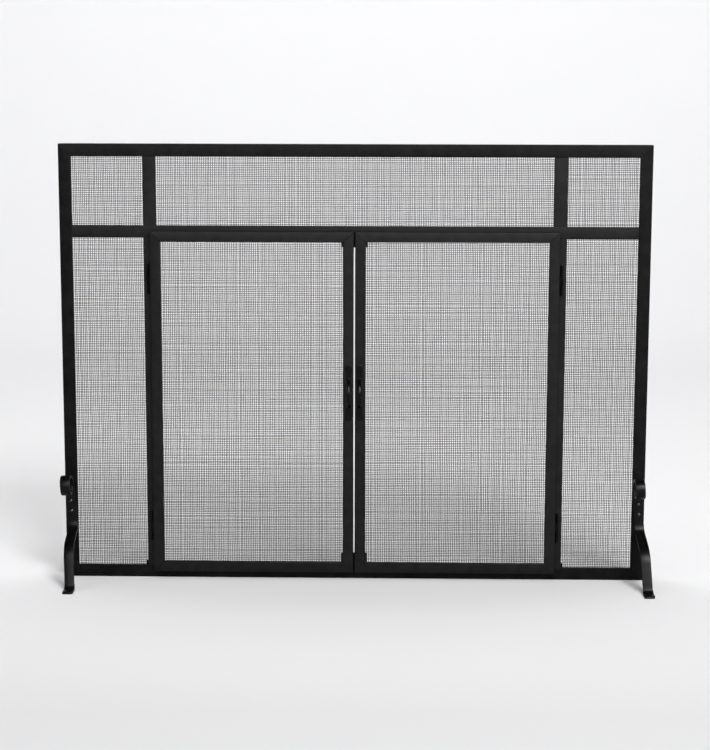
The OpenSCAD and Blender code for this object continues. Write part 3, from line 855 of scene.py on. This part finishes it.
def curl_section(axis, start_angle, turn, inner_first, outer_first, bore):
    """Outline of a strip that wraps round the pin, its first end as thick as the leaf."""
    steps = 28
    share = np.linspace(0, 1, steps + 1)
    blend = np.clip(share * 5, 0, 1)
    inner = inner_first + (bore - inner_first) * blend
    outer = outer_first + (BARREL_R - outer_first) * blend
    angles = np.radians(start_angle + turn * share)
    circle = np.column_stack([np.cos(angles), np.sin(angles)])
    return np.vstack([circle * outer[:, None], (circle * inner[:, None])[::-1]]) + [axis, 0]


def add_curl(shell, section, low, high, place):
    """Runs a curled section from one height to another, its ends eased."""
    ease = 0.25
    rings = []
    for height, margin in ((low, ease), (low + ease, 0), (high - ease, 0), (high, ease)):
        outline = inset(section, margin)
        rings.append(place(np.column_stack([outline, np.full(len(outline), height)])))
    shell.loft(rings)


class FIRESCREEN_OT_hinges(bpy.types.Operator):
    """Curled hinge leaves on the frame and the doors, with their pins"""

    bl_idname = "firescreen.hinges"
    bl_label = "Hinges"

    def execute(self, context):
        finish = paint("Black hinge")
        for name, side in SIDES:
            heights, (pin_x, pin_y) = hinge_heights(name)
            axis = abs(pin_x)

            def place(rows, side=side, pin_y=pin_y):
                return np.column_stack([side * rows[:, 0], rows[:, 1] + pin_y, rows[:, 2]])

            frame_leaf, door_leaf = name + "_frame_leaves", name + "_door_leaves"
            fixed, moving, pins = Shell(), Shell(), Shell()
            for z in heights:
                low, high = z - HINGE_LEN / 2, z + HINGE_LEN / 2
                self.frame_leaf(fixed, self.leaf_edge(frame_leaf, side), axis, pin_y, low, place)
                self.door_leaf(moving, self.leaf_edge(door_leaf, side), axis, pin_y, low, place)
                self.pin(pins, low - HEAD_H, high + HEAD_H, axis, place)
            piece_from(fixed, name + "_frame_hinge", finish, [frame_leaf])
            piece_from(moving, name + "_door_hinge", finish, [door_leaf])
            piece_from(pins, name + "_pins", finish, [name + "_hinge_pins"])
        return {"FINISHED"}

    def leaf_edge(self, node, side):
        """How far from the middle of the screen a leaf starts, and its front and back."""
        low, high = box(node)
        return (low[0] if side == RIGHT else -high[0]), low[1], high[1]

    def frame_leaf(self, shell, edge, axis, pin_y, low, place):
        """The frame's leaf on the mullion's face, with the upper and lower knuckles."""
        front = FRONT_Y - pin_y
        curl = curl_section(axis, 90, -320, front - LEAF_T, front, PIN_R)[::-1]
        third = HINGE_LEN / 3
        start = axis - BARREL_R - SEAT
        for z in (low, low + 2 * third):
            add_curl(shell, curl, z, z + third, place)
            root = (start - 0.5, front - LEAF_T), (axis, front)
            self.strip(shell, *root, (z, z + third), place)
        flat = (edge[0], front - LEAF_T), (start, front)
        self.strip(shell, *flat, (low, low + HINGE_LEN), place)

    def door_leaf(self, shell, edge, axis, pin_y, low, place):
        """The door's leaf inside the stile, with the middle knuckle."""
        bore = PIN_R + PIN_PLAY
        curl = curl_section(axis, -90, 320, BARREL_R - LEAF_T, BARREL_R, bore)
        third = HINGE_LEN / 3
        middle = low + HINGE_LEN / 2
        start, end = middle - third / 2 + SEAT, middle + third / 2 - SEAT
        add_curl(shell, curl, start, end, place)
        x, front, back = edge
        self.strip(shell, (x, -BARREL_R), (axis, -BARREL_R + LEAF_T), (start, end), place)
        flat = (x, front - pin_y), (x + LEAF_T, back - pin_y)
        self.strip(shell, *flat, (low, low + HINGE_LEN), place)

    def strip(self, shell, low, high, heights, place):
        """A flat strip of leaf with eased edges, its section in the plane of the floor."""
        corners = [low, (high[0], low[1]), high, (low[0], high[1])]
        section = rounded_outline(corners, [0.3] * 4, 3)
        add_curl(shell, section, *heights, place)

    def pin(self, shell, low, high, axis, place):
        """A pin with a low dome on each end."""
        head = BARREL_R - 0.5
        dome = [(head * math.cos(a), HEAD_H * math.sin(a)) for a in np.linspace(0, 1.45, 6)]
        under, over = low + HEAD_H, high - HEAD_H
        profile = [(r, under - 0.3 - h * 0.8, None) for r, h in reversed(dome)]
        profile += [(head, under, None), (PIN_R, under, None)]
        profile += [(PIN_R, over, None), (head, over, None)]
        profile += [(r, over + 0.3 + h * 0.8, None) for r, h in dome]
        shell.turned(profile, lambda rows: place(rows + [axis, 0, 0]), 28)


# Handles

# The bow's radius, and the strap's width, thickness and softened edge.
BOW_R, BOW_W, BOW_T, BOW_EDGE = 25.5, 7.4, 4.6, 2.1
# The feet's thickness, length, widths at the end and at the root, and radius of the end.
FAN_T, FAN_REACH, FAN_W, FAN_ROOT, FAN_END = 2.5, 26.0, 14.0, 9.0, 9.0
ROOT_BEND, PULL_SCREW_D = 2.6, 3.0


def handle_line():
    """Half of a handle, from its lower tip to the top of the bow: place and heading.

    Each row is (forward, up, heading from straight up, half width, half thickness)."""
    tip = BOW_R + BOW_T / 2 + FAN_REACH
    rows = []
    back = FAN_T / 2
    for s in np.concatenate([[0.04, 0.3, 0.9, 1.8], np.linspace(3, 24.4, 12)]):
        z = -tip + s
        straight = np.interp(-z, [BOW_R - BOW_T / 2, tip], [FAN_ROOT / 2, FAN_W / 2])
        round_end = math.sqrt(max(0.01, FAN_END**2 - max(0.0, FAN_END - s) ** 2))
        rows.append((back, z, 0.0, min(straight, round_end), FAN_T / 2))
    for turn in np.linspace(0, 90, 9)[1:]:
        a = math.radians(turn)
        share = turn / 90
        rows.append(
            (
                back + ROOT_BEND * (1 - math.cos(a)),
                -BOW_R - ROOT_BEND + ROOT_BEND * math.sin(a),
                turn,
                np.interp(share, [0, 1], [FAN_ROOT / 2 + 0.1, 0.52 * BOW_W]),
                np.interp(share, [0, 1], [FAN_T / 2, 0.5 * BOW_T]),
            )
        )
    start = back + ROOT_BEND
    for turn in np.linspace(0, 90, 16)[1:]:
        a = math.radians(turn)
        forward = start + (BOW_R + FAN_T / 2 - start) * math.sin(a)
        rows.append((forward, -BOW_R * math.cos(a), 90 - turn, BOW_W / 2, BOW_T / 2))
    return rows


class FIRESCREEN_OT_handles(bpy.types.Operator):
    """Forged strap handles: a half-round bow between two flared feet"""

    bl_idname = "firescreen.handles"
    bl_label = "Handles"

    def execute(self, context):
        for name, _side in SIDES:
            low, high = box(name + "_handle")
            x, z = (low[0] + high[0]) / 2, (low[2] + high[2]) / 2
            half = handle_line()
            whole = half + [(f, -u, -h, w, t) for f, u, h, w, t in reversed(half[:-1])]
            rings = []
            for forward, up, heading, wide, thick in whole:
                a = math.radians(heading)
                normal = np.array([math.cos(a), -math.sin(a)])
                section = self.section(wide, thick)
                ring = np.column_stack(
                    [
                        x + section[:, 0],
                        high[1] - forward - section[:, 1] * normal[0],
                        z + up + section[:, 1] * normal[1],
                    ]
                )
                rings.append(ring)
            shell = Shell()
            shell.loft(rings)
            finish = paint("Black forged handle")
            piece_from(shell, name + "_pull", finish, [name + "_handle"])
            self.screws(name, x)
        return {"FINISHED"}

    def section(self, wide, thick):
        """The strap across its length: rounded over in front, eased behind."""
        crown = min(1.0, 2.2 * thick / (wide + 1.2))
        points = []
        for a in np.radians(np.linspace(0, 180, 15)):
            points.append((wide * math.cos(a), thick * (1 - crown) + thick * crown * math.sin(a)))
        ease = min(0.5 * BOW_EDGE, 0.35 * wide, 0.45 * thick)
        for across, start in ((-wide + ease, 180), (wide - ease, 270)):
            for a in np.radians(np.linspace(start, start + 90, 4)):
                points.append((across + ease * math.cos(a), ease - thick + ease * math.sin(a)))
        return np.array(points)

    def screws(self, name, x):
        """Two pan head screws from behind, with a cross recess."""
        low, high = box(name + "_handle_screws")
        head_r = (high[0] - low[0]) / 2
        head_h, shank_r = 0.6 * PULL_SCREW_D, PULL_SCREW_D / 2

        def cross(angles):
            return 0.38 + 0.62 * np.abs(np.cos(2 * angles)) ** 3

        shell = Shell()
        for z in (low[2] + head_r, high[2] - head_r):
            seat = high[1] - head_h
            profile = [(0.9 * shank_r, low[1], None), (shank_r, low[1] + 0.3, None)]
            profile += [(shank_r, seat, None), (head_r, seat, None)]
            for a in np.linspace(0, 1.2, 6):
                lift = 0.45 + (head_h - 0.5) * math.sin(a)
                profile.append((head_r * (0.35 + 0.65 * math.cos(a)), seat + lift, None))
            profile.append((0.52 * head_r, high[1], cross))
            profile.append((0.46 * head_r, high[1] - 0.9, cross))
            profile.append((0.1 * head_r, high[1] - 1.1, None))
            shell.turned(
                profile,
                lambda rows, z=z: np.column_stack([x + rows[:, 0], rows[:, 2], z + rows[:, 1]]),
                40,
            )
        piece_from(shell, name + "_pull_screws", zinc(), [name + "_handle_screws"])


# Catches


class FIRESCREEN_OT_catches(bpy.types.Operator):
    """Catch plates with their magnets, and the keepers in the doors"""

    bl_idname = "firescreen.catches"
    bl_label = "Catches"

    def execute(self, context):
        finish = paint("Black painted clamp")
        for node in ("upper_catch_plate", "lower_catch_plate"):
            shell = Shell()
            shell.block(*box(node), 1.5, 0.35)
            piece_from(shell, node.replace("_plate", "_stop"), finish, [node])
        for node in ("upper_magnets", "lower_magnets"):
            self.discs(node)
        for name, _side in SIDES:
            node = name + "_door_keepers"
            low, high = box(node)
            shell = Shell()
            for keeper_low, keeper_high in self.keeper_boxes(low, high):
                shell.block(keeper_low, keeper_high, 1.0, 0.35)
            piece_from(shell, name + "_door_strikes", finish, [node])
        return {"FINISHED"}

    def discs(self, node):
        """Two disc magnets side by side, with a groove in the face of each."""
        low, high = box(node)
        r, z, thick = (high[2] - low[2]) / 2, (low[2] + high[2]) / 2, high[1] - low[1]
        profile = [(0.2 * r, 0.0), (0.62 * r, 0.0), (0.66 * r, 0.12), (0.74 * r, 0.12)]
        profile += [(0.78 * r, 0.0), (r - 0.35, 0.0), (r - 0.1, 0.1), (r, 0.35)]
        profile += [(r, thick - 0.3), (r - 0.3, thick)]
        shell = Shell()
        for x in (low[0] + r, high[0] - r):

            def place(rows, x=x):
                return np.column_stack([x + rows[:, 0], low[1] + rows[:, 2], z + rows[:, 1]])

            shell.turned([(*row, None) for row in profile], place, 48)
        nickel = bare_steel("Nickel plated magnet", (0.42, 0.415, 0.41), 0.26)
        piece_from(shell, node.replace("magnets", "discs"), nickel, [node])

    def keeper_boxes(self, low, high):
        """The two plates of a keeper node: as tall as the catch plates reach past the door bar."""
        top = box("upper_catch_plate")[0][2]
        bottom = box("lower_catch_plate")[1][2]
        yield np.array([low[0], low[1], top]), high
        yield low, np.array([high[0], high[1], bottom])


# Legs

# Width and thickness of the bar, its place in from the stile's outer edge, and its lean.
LEG_W, LEG_T, LEG_INSET, LEAN = 18.6, 5.0, 11.5, 3.4
# The foot's step sideways and the heights between which it fades, the toe's reach and the knee.
FOOT_SET, FOOT_SET_Z, FOOT_SET_TOP_Z, TOE_REACH, KNEE_Z = 1.6, 70.0, 110.0, 131.0, 114.5
SCREW_Z, SCREW_PITCH, SCREW_D = 142.0, 20.0, 4.0
LEG_TOP, CURL_D, CURL_REACH, CURL_END_R, CURL_END_TURN = 209.0, 38.0, 58.0, 11.0, 100.0
# Slopes of the ramp and the shin from upright, in degrees, and the radii of the bends.
RAMP, SHIN, KNEE_R, SHOULDER_R, ANKLE_R = 74.0, 17.0, 20.0, 42.0, 12.5
TOE_LEN, TOE_W, FLARE_Z, TOE_TIP_R, TOE_CORNER_R = 20.0, 20.4, 11.0, 4.0, 5.0
NUT_SEAT, NUT_H = LEG_T + BAR_T, 0.8 * SCREW_D


def bend(centre, radius, start, end, sign, step=4.0):
    """Rows of (forward, up, normal forward, normal up) round one bend of the leg."""
    count = max(2, int(math.ceil(abs(end - start) / step)))
    angles = np.radians(np.linspace(start, end, count + 1))
    radial = np.column_stack([np.cos(angles), np.sin(angles)])
    return np.column_stack([np.array(centre) + radius * radial, sign * radial])


def heading(degrees):
    a = math.radians(degrees)
    return np.array([math.sin(a), -math.cos(a)])


def leg_line():
    """The leg's centreline from the toe's tip to the end of the curl."""
    cos, sin = (lambda d: math.cos(math.radians(d))), (lambda d: math.sin(math.radians(d)))
    half = LEG_T / 2
    forward = (
        TOE_REACH
        - half
        - TOE_LEN
        - KNEE_R * (1 - cos(RAMP))
        - SHOULDER_R * (cos(SHIN) - cos(RAMP))
        - ANKLE_R * cos(SHIN)
    )
    down = (
        KNEE_Z
        - half
        - KNEE_R * sin(RAMP)
        - SHOULDER_R * (sin(RAMP) - sin(SHIN))
        - ANKLE_R * (1 - sin(SHIN))
    )
    ramp_len = (forward * cos(SHIN) - down * sin(SHIN)) / sin(RAMP - SHIN)
    shin_len = (down * sin(RAMP) - forward * cos(RAMP)) / sin(RAMP - SHIN)
    knee = np.array([half + KNEE_R, KNEE_Z])
    ramp_end = knee - KNEE_R * np.array([cos(RAMP), sin(RAMP)]) + ramp_len * heading(RAMP)
    shoulder = ramp_end - SHOULDER_R * np.array([cos(RAMP), sin(RAMP)])
    shin_end = shoulder + SHOULDER_R * np.array([cos(SHIN), sin(SHIN)]) + shin_len * heading(SHIN)
    ankle = shin_end + ANKLE_R * np.array([cos(SHIN), sin(SHIN)])
    curl_x = CURL_REACH - CURL_D / 2
    sweep_r, curl_r = curl_x - half, (CURL_D - LEG_T) / 2
    tips = TOE_REACH - np.array([0.05, 0.25, 0.6, 1.1, 1.8, 2.6, 3.5, 4.5, 7.0, 12.0, 17.0])
    toe = np.column_stack([tips, np.full(len(tips), half), 0 * tips, 0 * tips + 1])
    parts = [
        toe,
        bend(ankle, ANKLE_R, 270, 180 + SHIN, -1),
        bend(shoulder, SHOULDER_R, SHIN, RAMP, 1),
        bend(knee, KNEE_R, 180 + RAMP, 180, -1),
        bend((curl_x, LEG_TOP - half - sweep_r), sweep_r, 180, 90, -1),
        bend((curl_x, LEG_TOP - CURL_D / 2), curl_r, 90, -90, -1),
        bend(
            (curl_x, LEG_TOP - CURL_D + half + CURL_END_R),
            CURL_END_R,
            -90,
            -90 - CURL_END_TURN,
            -1,
        ),
    ]
    return np.vstack(parts)


def filled(line, longest):
    """Adds points on long straights, so that the bar's surface can be uneven there too."""
    made = [line[:1]]
    for before, after in zip(line[:-1], line[1:]):
        gap = np.linalg.norm(after[:2] - before[:2])
        count = max(1, int(math.ceil(gap / longest)))
        share = np.linspace(0, 1, count + 1)[1:, None]
        made.append(before + share * (after - before))
    return np.vstack(made)


def at_leg(points, side, let_down=0.0):
    """Carries points from the leg's own frame to its place on the stile."""
    a = math.radians(-LEAN)
    x, y, z = points[:, 0], points[:, 1], points[:, 2] - SCREW_Z
    leaned_x = x * math.cos(a) + z * math.sin(a)
    leaned_z = -x * math.sin(a) + z * math.cos(a)
    edge = FRAME_HIGH[0] - LEG_INSET
    return np.column_stack([leaned_x + side * edge, y + FRONT_Y, leaned_z + SCREW_Z - let_down])


def toe_limits(forward, up):
    """The bar's half thickness above its centreline and its half width, rounded at the toe."""
    top, plan = LEG_T / 2, math.inf
    past = forward - (TOE_REACH - TOE_TIP_R)
    if past > 0 and up < LEG_T:
        top = LEG_T / 2 - TOE_TIP_R + math.sqrt(max(0.0, TOE_TIP_R**2 - past**2))
    past = forward - (TOE_REACH - TOE_CORNER_R)
    if past > 0 and up < LEG_T:
        plan = TOE_W / 2 - TOE_CORNER_R + math.sqrt(max(0.0, TOE_CORNER_R**2 - past**2))
    return top, plan


def leg_rings(edge, draw):
    """Rings of the bar from toe to curl, in the leg's own frame, slightly uneven as forged."""
    line = filled(leg_line(), 4.0)
    half_t = LEG_T / 2
    rings = []
    phases = draw.uniform(0, 2 * math.pi, 2)
    run = 0.0
    for index, (forward, up, normal_f, normal_u) in enumerate(line):
        if index:
            run += np.linalg.norm(line[index][:2] - line[index - 1][:2])
        top, plan = toe_limits(forward, up)
        dent = 0.10 * (math.sin(run / 7.3 + phases[0]) + math.sin(run / 3.1 + phases[1])) - 0.2
        soft = min(edge, 0.45 * (top + half_t))
        at_end = index == len(line) - 1
        ring = []
        for across, off_sign, start in ((1, -1, -90), (1, 1, 0), (-1, 1, 90), (-1, -1, 180)):
            for a in np.radians(np.linspace(start, start + 90, 4)):
                off_limit = top + 0.5 * dent if off_sign > 0 else -half_t
                centre_off = off_limit - off_sign * soft
                off = centre_off + soft * math.sin(a)
                if at_end:
                    off *= 0.8
                z = up + normal_u * off
                half = np.interp(z, [half_t, FLARE_Z], [TOE_W / 2, LEG_W / 2])
                half = min(half, plan) + 0.3 * dent
                if at_end:
                    half -= 0.6
                centre = np.interp(z, [FOOT_SET_Z, FOOT_SET_TOP_Z], [FOOT_SET, 0.0])
                x = centre + across * (half - soft) + soft * math.cos(a)
                ring.append((x, -(forward + normal_f * off), z))
        rings.append(ring)
    return np.array(rings)


class FIRESCREEN_OT_legs(bpy.types.Operator):
    """Forged flat bar legs: curled top, knee, shin and toe"""

    bl_idname = "firescreen.legs"
    bl_label = "Legs"

    def execute(self, context):
        let_down = (
            TOE_W * math.sin(math.radians(LEAN)) + SCREW_Z * (1 - math.cos(math.radians(LEAN)))
        ) / 2
        for name, side in SIDES:
            draw = np.random.default_rng(40 + side)
            rings = leg_rings(sizes("leg_edge"), draw)
            placed = at_leg(rings.reshape(-1, 3), side, let_down)
            placed[:, 2] = np.maximum(placed[:, 2], 0.0)
            shell = Shell()
            shell.loft(placed.reshape(rings.shape))
            finish = paint("Black forged bar")
            piece_from(shell, name + "_leg_bar", finish, [name + "_leg"])
        return {"FINISHED"}


class FIRESCREEN_OT_leg_fasteners(bpy.types.Operator):
    """Button head screws through the legs, and their nuts"""

    bl_idname = "firescreen.leg_fasteners"
    bl_label = "Leg screws and nuts"

    def execute(self, context):
        for name, side in SIDES:
            screws, nuts = Shell(), Shell()
            for z in (SCREW_Z - SCREW_PITCH / 2, SCREW_Z + SCREW_PITCH / 2):

                def place(rows, z=z, side=side):
                    local = np.column_stack([rows[:, 0], rows[:, 2] - LEG_T, z + rows[:, 1]])
                    return at_leg(local, side)

                screws.turned(self.screw_profile(), place, 42)
                nuts.turned(self.nut_profile(), place, 48, loop=True)
            finish = paint("Black screw")
            piece_from(screws, name + "_leg_bolts", finish, [name + "_leg_screws"])
            piece_from(nuts, name + "_leg_bolt_nuts", zinc(), [name + "_leg_nuts"])
        return {"FINISHED"}

    def screw_profile(self):
        """From the end of the thread to the head, 0 at the leg's face, with a hexagon socket."""
        head_r, head_h = 0.95 * SCREW_D, 0.55 * SCREW_D
        dome = (head_r**2 + head_h**2) / (2 * head_h)
        key_r, key_depth = 0.34 * SCREW_D, 0.6 * head_h
        end = NUT_SEAT + NUT_H + 1
        shank = SCREW_D / 2
        profile = [(0.2, end, None), (shank - 0.5, end, None), (shank, end - 0.5, None)]
        for k, depth in enumerate(np.arange(end - 0.7, NUT_SEAT + 0.3, -0.35)):
            profile.append((shank - (0.0 if k % 2 else 0.22), depth, None))
        profile += [(shank, 0.0, None), (head_r - 0.15, 0.0, None), (head_r, -0.12, None)]
        top = math.asin(min(1.0, 1.25 * key_r / dome))
        for a in np.linspace(math.asin(head_r / dome) * 0.985, top, 8):
            rise = dome * math.cos(a) - (dome - head_h)
            profile.append((dome * math.sin(a), -rise, None))
        return profile + [
            (1.06 * key_r, -head_h + 0.1, hexagon),
            (key_r, -head_h + 0.25, hexagon),
            (key_r, -head_h + key_depth, hexagon),
            (0.3 * key_r, -head_h + key_depth + 0.25, None),
        ]

    def nut_profile(self):
        """A hexagon nut behind the stile, its corners and its bore eased."""
        corner_r = 1.01 * SCREW_D
        blunt = 1.02 * math.cos(math.pi / 6)

        def blunted(angles):
            return np.minimum(hexagon(angles), blunt)

        bore, ease = SCREW_D / 2 + 0.05, 0.35
        end = NUT_SEAT + NUT_H
        return [
            (corner_r, NUT_SEAT, blunted),
            (corner_r, NUT_SEAT + ease, hexagon),
            (corner_r, end - ease, hexagon),
            (corner_r, end, blunted),
            (bore + ease, end, None),
            (bore, end - ease, None),
            (bore, NUT_SEAT + ease, None),
            (bore + ease, NUT_SEAT, None),
        ]


# Stage

# The camera's place in metres, its angles in degrees and its lens in millimetres.
CAMERA_PLACE = (0.0812, -3.6869, 1.0095)
CAMERA_PITCH, CAMERA_YAW, CAMERA_ROLL = -9.41, -1.245, 0.113
CAMERA_LENS = 93.6


def camera_turn():
    """The camera's rotation from its pitch, yaw and roll."""
    pitch, yaw, roll = (math.radians(a) for a in (CAMERA_PITCH, CAMERA_YAW, CAMERA_ROLL))
    ahead = np.array(
        [math.sin(yaw) * math.cos(pitch), math.cos(yaw) * math.cos(pitch), math.sin(pitch)]
    )
    right = np.array([math.cos(yaw), -math.sin(yaw), 0.0])
    up = np.cross(right, ahead)
    across = right * math.cos(roll) + up * math.sin(roll)
    over = -right * math.sin(roll) + up * math.cos(roll)
    return Matrix(np.column_stack([across, over, -ahead]).tolist())


# Each lamp's name, place, target, width and height (metres), power (watts), and whether it is
# seen in reflections and whether it lights surfaces apart from them.
LAMPS = (
    ("Key", (1.8, -4.6, 4.9), (-0.1, 0.2, 0.1), (2.2, 2.2), 305, True, True),
    ("Side softbox", (5.2, -5.6, 4.0), (0.0, 0.0, 0.4), (3.0, 3.0), 560, True, False),
    ("Front softbox", (0.6, -3.4, 3.2), (0.0, 0.0, 0.4), (4.8, 2.8), 190, True, False),
    ("Low softbox", (0.6, -3.9, 1.55), (0.0, 0.0, 0.4), (4.8, 1.2), 78, True, False),
    ("Top fill", (-1.0, -0.9, 5.0), (-1.0, -0.6, 0.0), (7.0, 4.0), 92, False, True),
    ("Back fill", (-0.1, 1.7, 4.4), (-0.1, 2.9, 0.3), (7.0, 2.2), 106, False, True),
)

# The paper's half width, front edge, start and radius of its sweep, and top, in metres.
PAPER_REACH, PAPER_FRONT, SWEEP_START, SWEEP_R, PAPER_TOP = 7.0, -7.0, 2.6, 1.6, 1.7
# Painted light and shade on the paper: its colour in front of the screen, darker to paint shade
# where the lamps fall strongest, and its colour behind the screen, paler to paint light where the
# screen shades the floor, both as shares of the stage colour. Also the depths between which it
# turns from the one to the other and partly back, which paints the backdrop darker again up high.
FRONT_PAINTED_SHADE, BACK_PAINTED_LIGHT = 0.84, 1.04
PAINTED_LIGHT_FROM, PAINTED_LIGHT_UNTIL = (-0.8, 0.0), (3.0, 4.6)


class FIRESCREEN_OT_stage(bpy.types.Operator):
    """Pale floor and backdrop, soft lights and the camera"""

    bl_idname = "firescreen.stage"
    bl_label = "Stage"

    def execute(self, context):
        scene = context.scene
        scene.view_settings.view_transform = "Standard"
        self.backdrop()
        self.world(scene)
        for lamp in LAMPS:
            self.lamp(*lamp)
        camera = bpy.data.objects.new("Camera", bpy.data.cameras.new("Camera"))
        scene.collection.objects.link(camera)
        camera.data.lens = CAMERA_LENS
        camera.data.clip_end = 60
        camera.matrix_world = Matrix.Translation(CAMERA_PLACE) @ camera_turn().to_4x4()
        scene.camera = camera
        return {"FINISHED"}

    def backdrop(self):
        """A floor that sweeps up into a wall behind the screen."""
        profile = [(PAPER_FRONT, 0.0), (SWEEP_START, 0.0)]
        for a in np.linspace(0, math.pi / 2, 17)[1:]:
            profile.append((SWEEP_START + SWEEP_R * math.sin(a), SWEEP_R * (1 - math.cos(a))))
        profile.append((SWEEP_START + SWEEP_R, PAPER_TOP))
        points = [(x, y, z) for y, z in profile for x in (-PAPER_REACH, PAPER_REACH)]
        faces = [(2 * i, 2 * i + 1, 2 * i + 3, 2 * i + 2) for i in range(len(profile) - 1)]
        mesh = bpy.data.meshes.new("floor_and_backdrop")
        mesh.from_pydata(points, [], faces)
        mesh.polygons.foreach_set("use_smooth", np.ones(len(mesh.polygons), bool))
        floor = bpy.data.objects.new("floor_and_backdrop", mesh)
        bpy.context.scene.collection.objects.link(floor)
        material, nodes = new_material("Paper with painted light and shade")
        colour = np.array(bpy.context.scene.fire_screen_finish.stage_colour)
        place = nodes.add("ShaderNodeNewGeometry").outputs["Position"]
        depth = nodes.add("ShaderNodeSeparateXYZ", {0: place}).outputs["Y"]
        front, back = opaque(FRONT_PAINTED_SHADE * colour), opaque(BACK_PAINTED_LIGHT * colour)
        # Painted light and shade: the paper is darker in front, paler near and behind the screen,
        # and darker again high on the backdrop.
        share = nodes.math(
            "MULTIPLY",
            nodes.remap(depth, *PAINTED_LIGHT_FROM, 0.0, 1.0),
            nodes.remap(depth, *PAINTED_LIGHT_UNTIL, 1.0, 0.4),
        )
        nodes.surface(
            {
                "Base Color": nodes.mix(share, front, back),
                "Roughness": 0.9,
                "Specular IOR Level": 0.1,
            }
        )
        mesh.materials.append(material)

    def world(self, scene):
        """Pale all round low down, faintly lit in front, dim behind and overhead."""
        world = bpy.data.worlds.new("Studio")
        world.use_nodes = True
        world.node_tree.nodes.clear()
        nodes = Nodes(world.node_tree)
        way = nodes.add("ShaderNodeTexCoord").outputs["Generated"]
        parts = nodes.add("ShaderNodeSeparateXYZ", {0: way}).outputs
        front = nodes.remap(parts["Y"], 0.35, -0.5, 0.005, 0.06)
        overhead = nodes.remap(parts["Z"], 0.5, 0.85, 1.0, 0.12)
        horizon = nodes.remap(parts["Z"], 0.08, 0.2, 0.85, 0.0)
        level = nodes.math("MAXIMUM", nodes.math("MULTIPLY", front, overhead), horizon)
        background = nodes.add(
            "ShaderNodeBackground", {"Color": (0.93, 0.94, 0.96, 1.0), "Strength": level}
        )
        nodes.add("ShaderNodeOutputWorld", {"Surface": background.outputs[0]})
        scene.world = world

    def lamp(self, name, place, target, size, power, glossy, diffuse):
        """A rectangular soft light."""
        data = bpy.data.lights.new(name, "AREA")
        data.shape = "RECTANGLE"
        data.size, data.size_y = size
        data.energy = power
        lamp = bpy.data.objects.new(name, data)
        bpy.context.scene.collection.objects.link(lamp)
        ahead = np.array(target) - np.array(place)
        turn = Vector(ahead).to_track_quat("-Z", "Y").to_matrix()
        lamp.matrix_world = Matrix.Translation(place) @ turn.to_4x4()
        lamp.visible_glossy = glossy
        lamp.visible_diffuse = diffuse
        lamp.visible_camera = False


class FIRESCREEN_PT_panel(bpy.types.Panel):
    """Lists the screen's settings and the steps that build it"""

    bl_idname = "FIRESCREEN_PT_panel"
    bl_label = "Fireplace Screen"
    bl_space_type = "VIEW_3D"
    bl_region_type = "UI"
    bl_category = "Fire Screen"

    def draw(self, context):
        layout = self.layout
        for group in (context.scene.fire_screen_sizes, context.scene.fire_screen_finish):
            column = layout.column(align=True)
            for name in group.__annotations__:
                column.prop(group, name)
        column = layout.column(align=True)
        for step in STEPS:
            column.operator(step.bl_idname)


STEPS = (
    FIRESCREEN_OT_frame_bars,
    FIRESCREEN_OT_door_bars,
    FIRESCREEN_OT_mesh_panels,
    FIRESCREEN_OT_clamp_bars,
    FIRESCREEN_OT_hinges,
    FIRESCREEN_OT_handles,
    FIRESCREEN_OT_catches,
    FIRESCREEN_OT_legs,
    FIRESCREEN_OT_leg_fasteners,
    FIRESCREEN_OT_stage,
)
CLASSES = (FireScreenSizes, FireScreenFinish, *STEPS, FIRESCREEN_PT_panel)


def register():
    for cls in CLASSES:
        bpy.utils.register_class(cls)
    bpy.types.Scene.fire_screen_sizes = bpy.props.PointerProperty(type=FireScreenSizes)
    bpy.types.Scene.fire_screen_finish = bpy.props.PointerProperty(type=FireScreenFinish)


def unregister():
    del bpy.types.Scene.fire_screen_finish
    del bpy.types.Scene.fire_screen_sizes
    for cls in reversed(CLASSES):
        bpy.utils.unregister_class(cls)


def main():
    register()
    for step in STEPS:
        group, name = step.bl_idname.split(".")
        getattr(getattr(bpy.ops, group), name)()


if __name__ == "__main__":
    main()
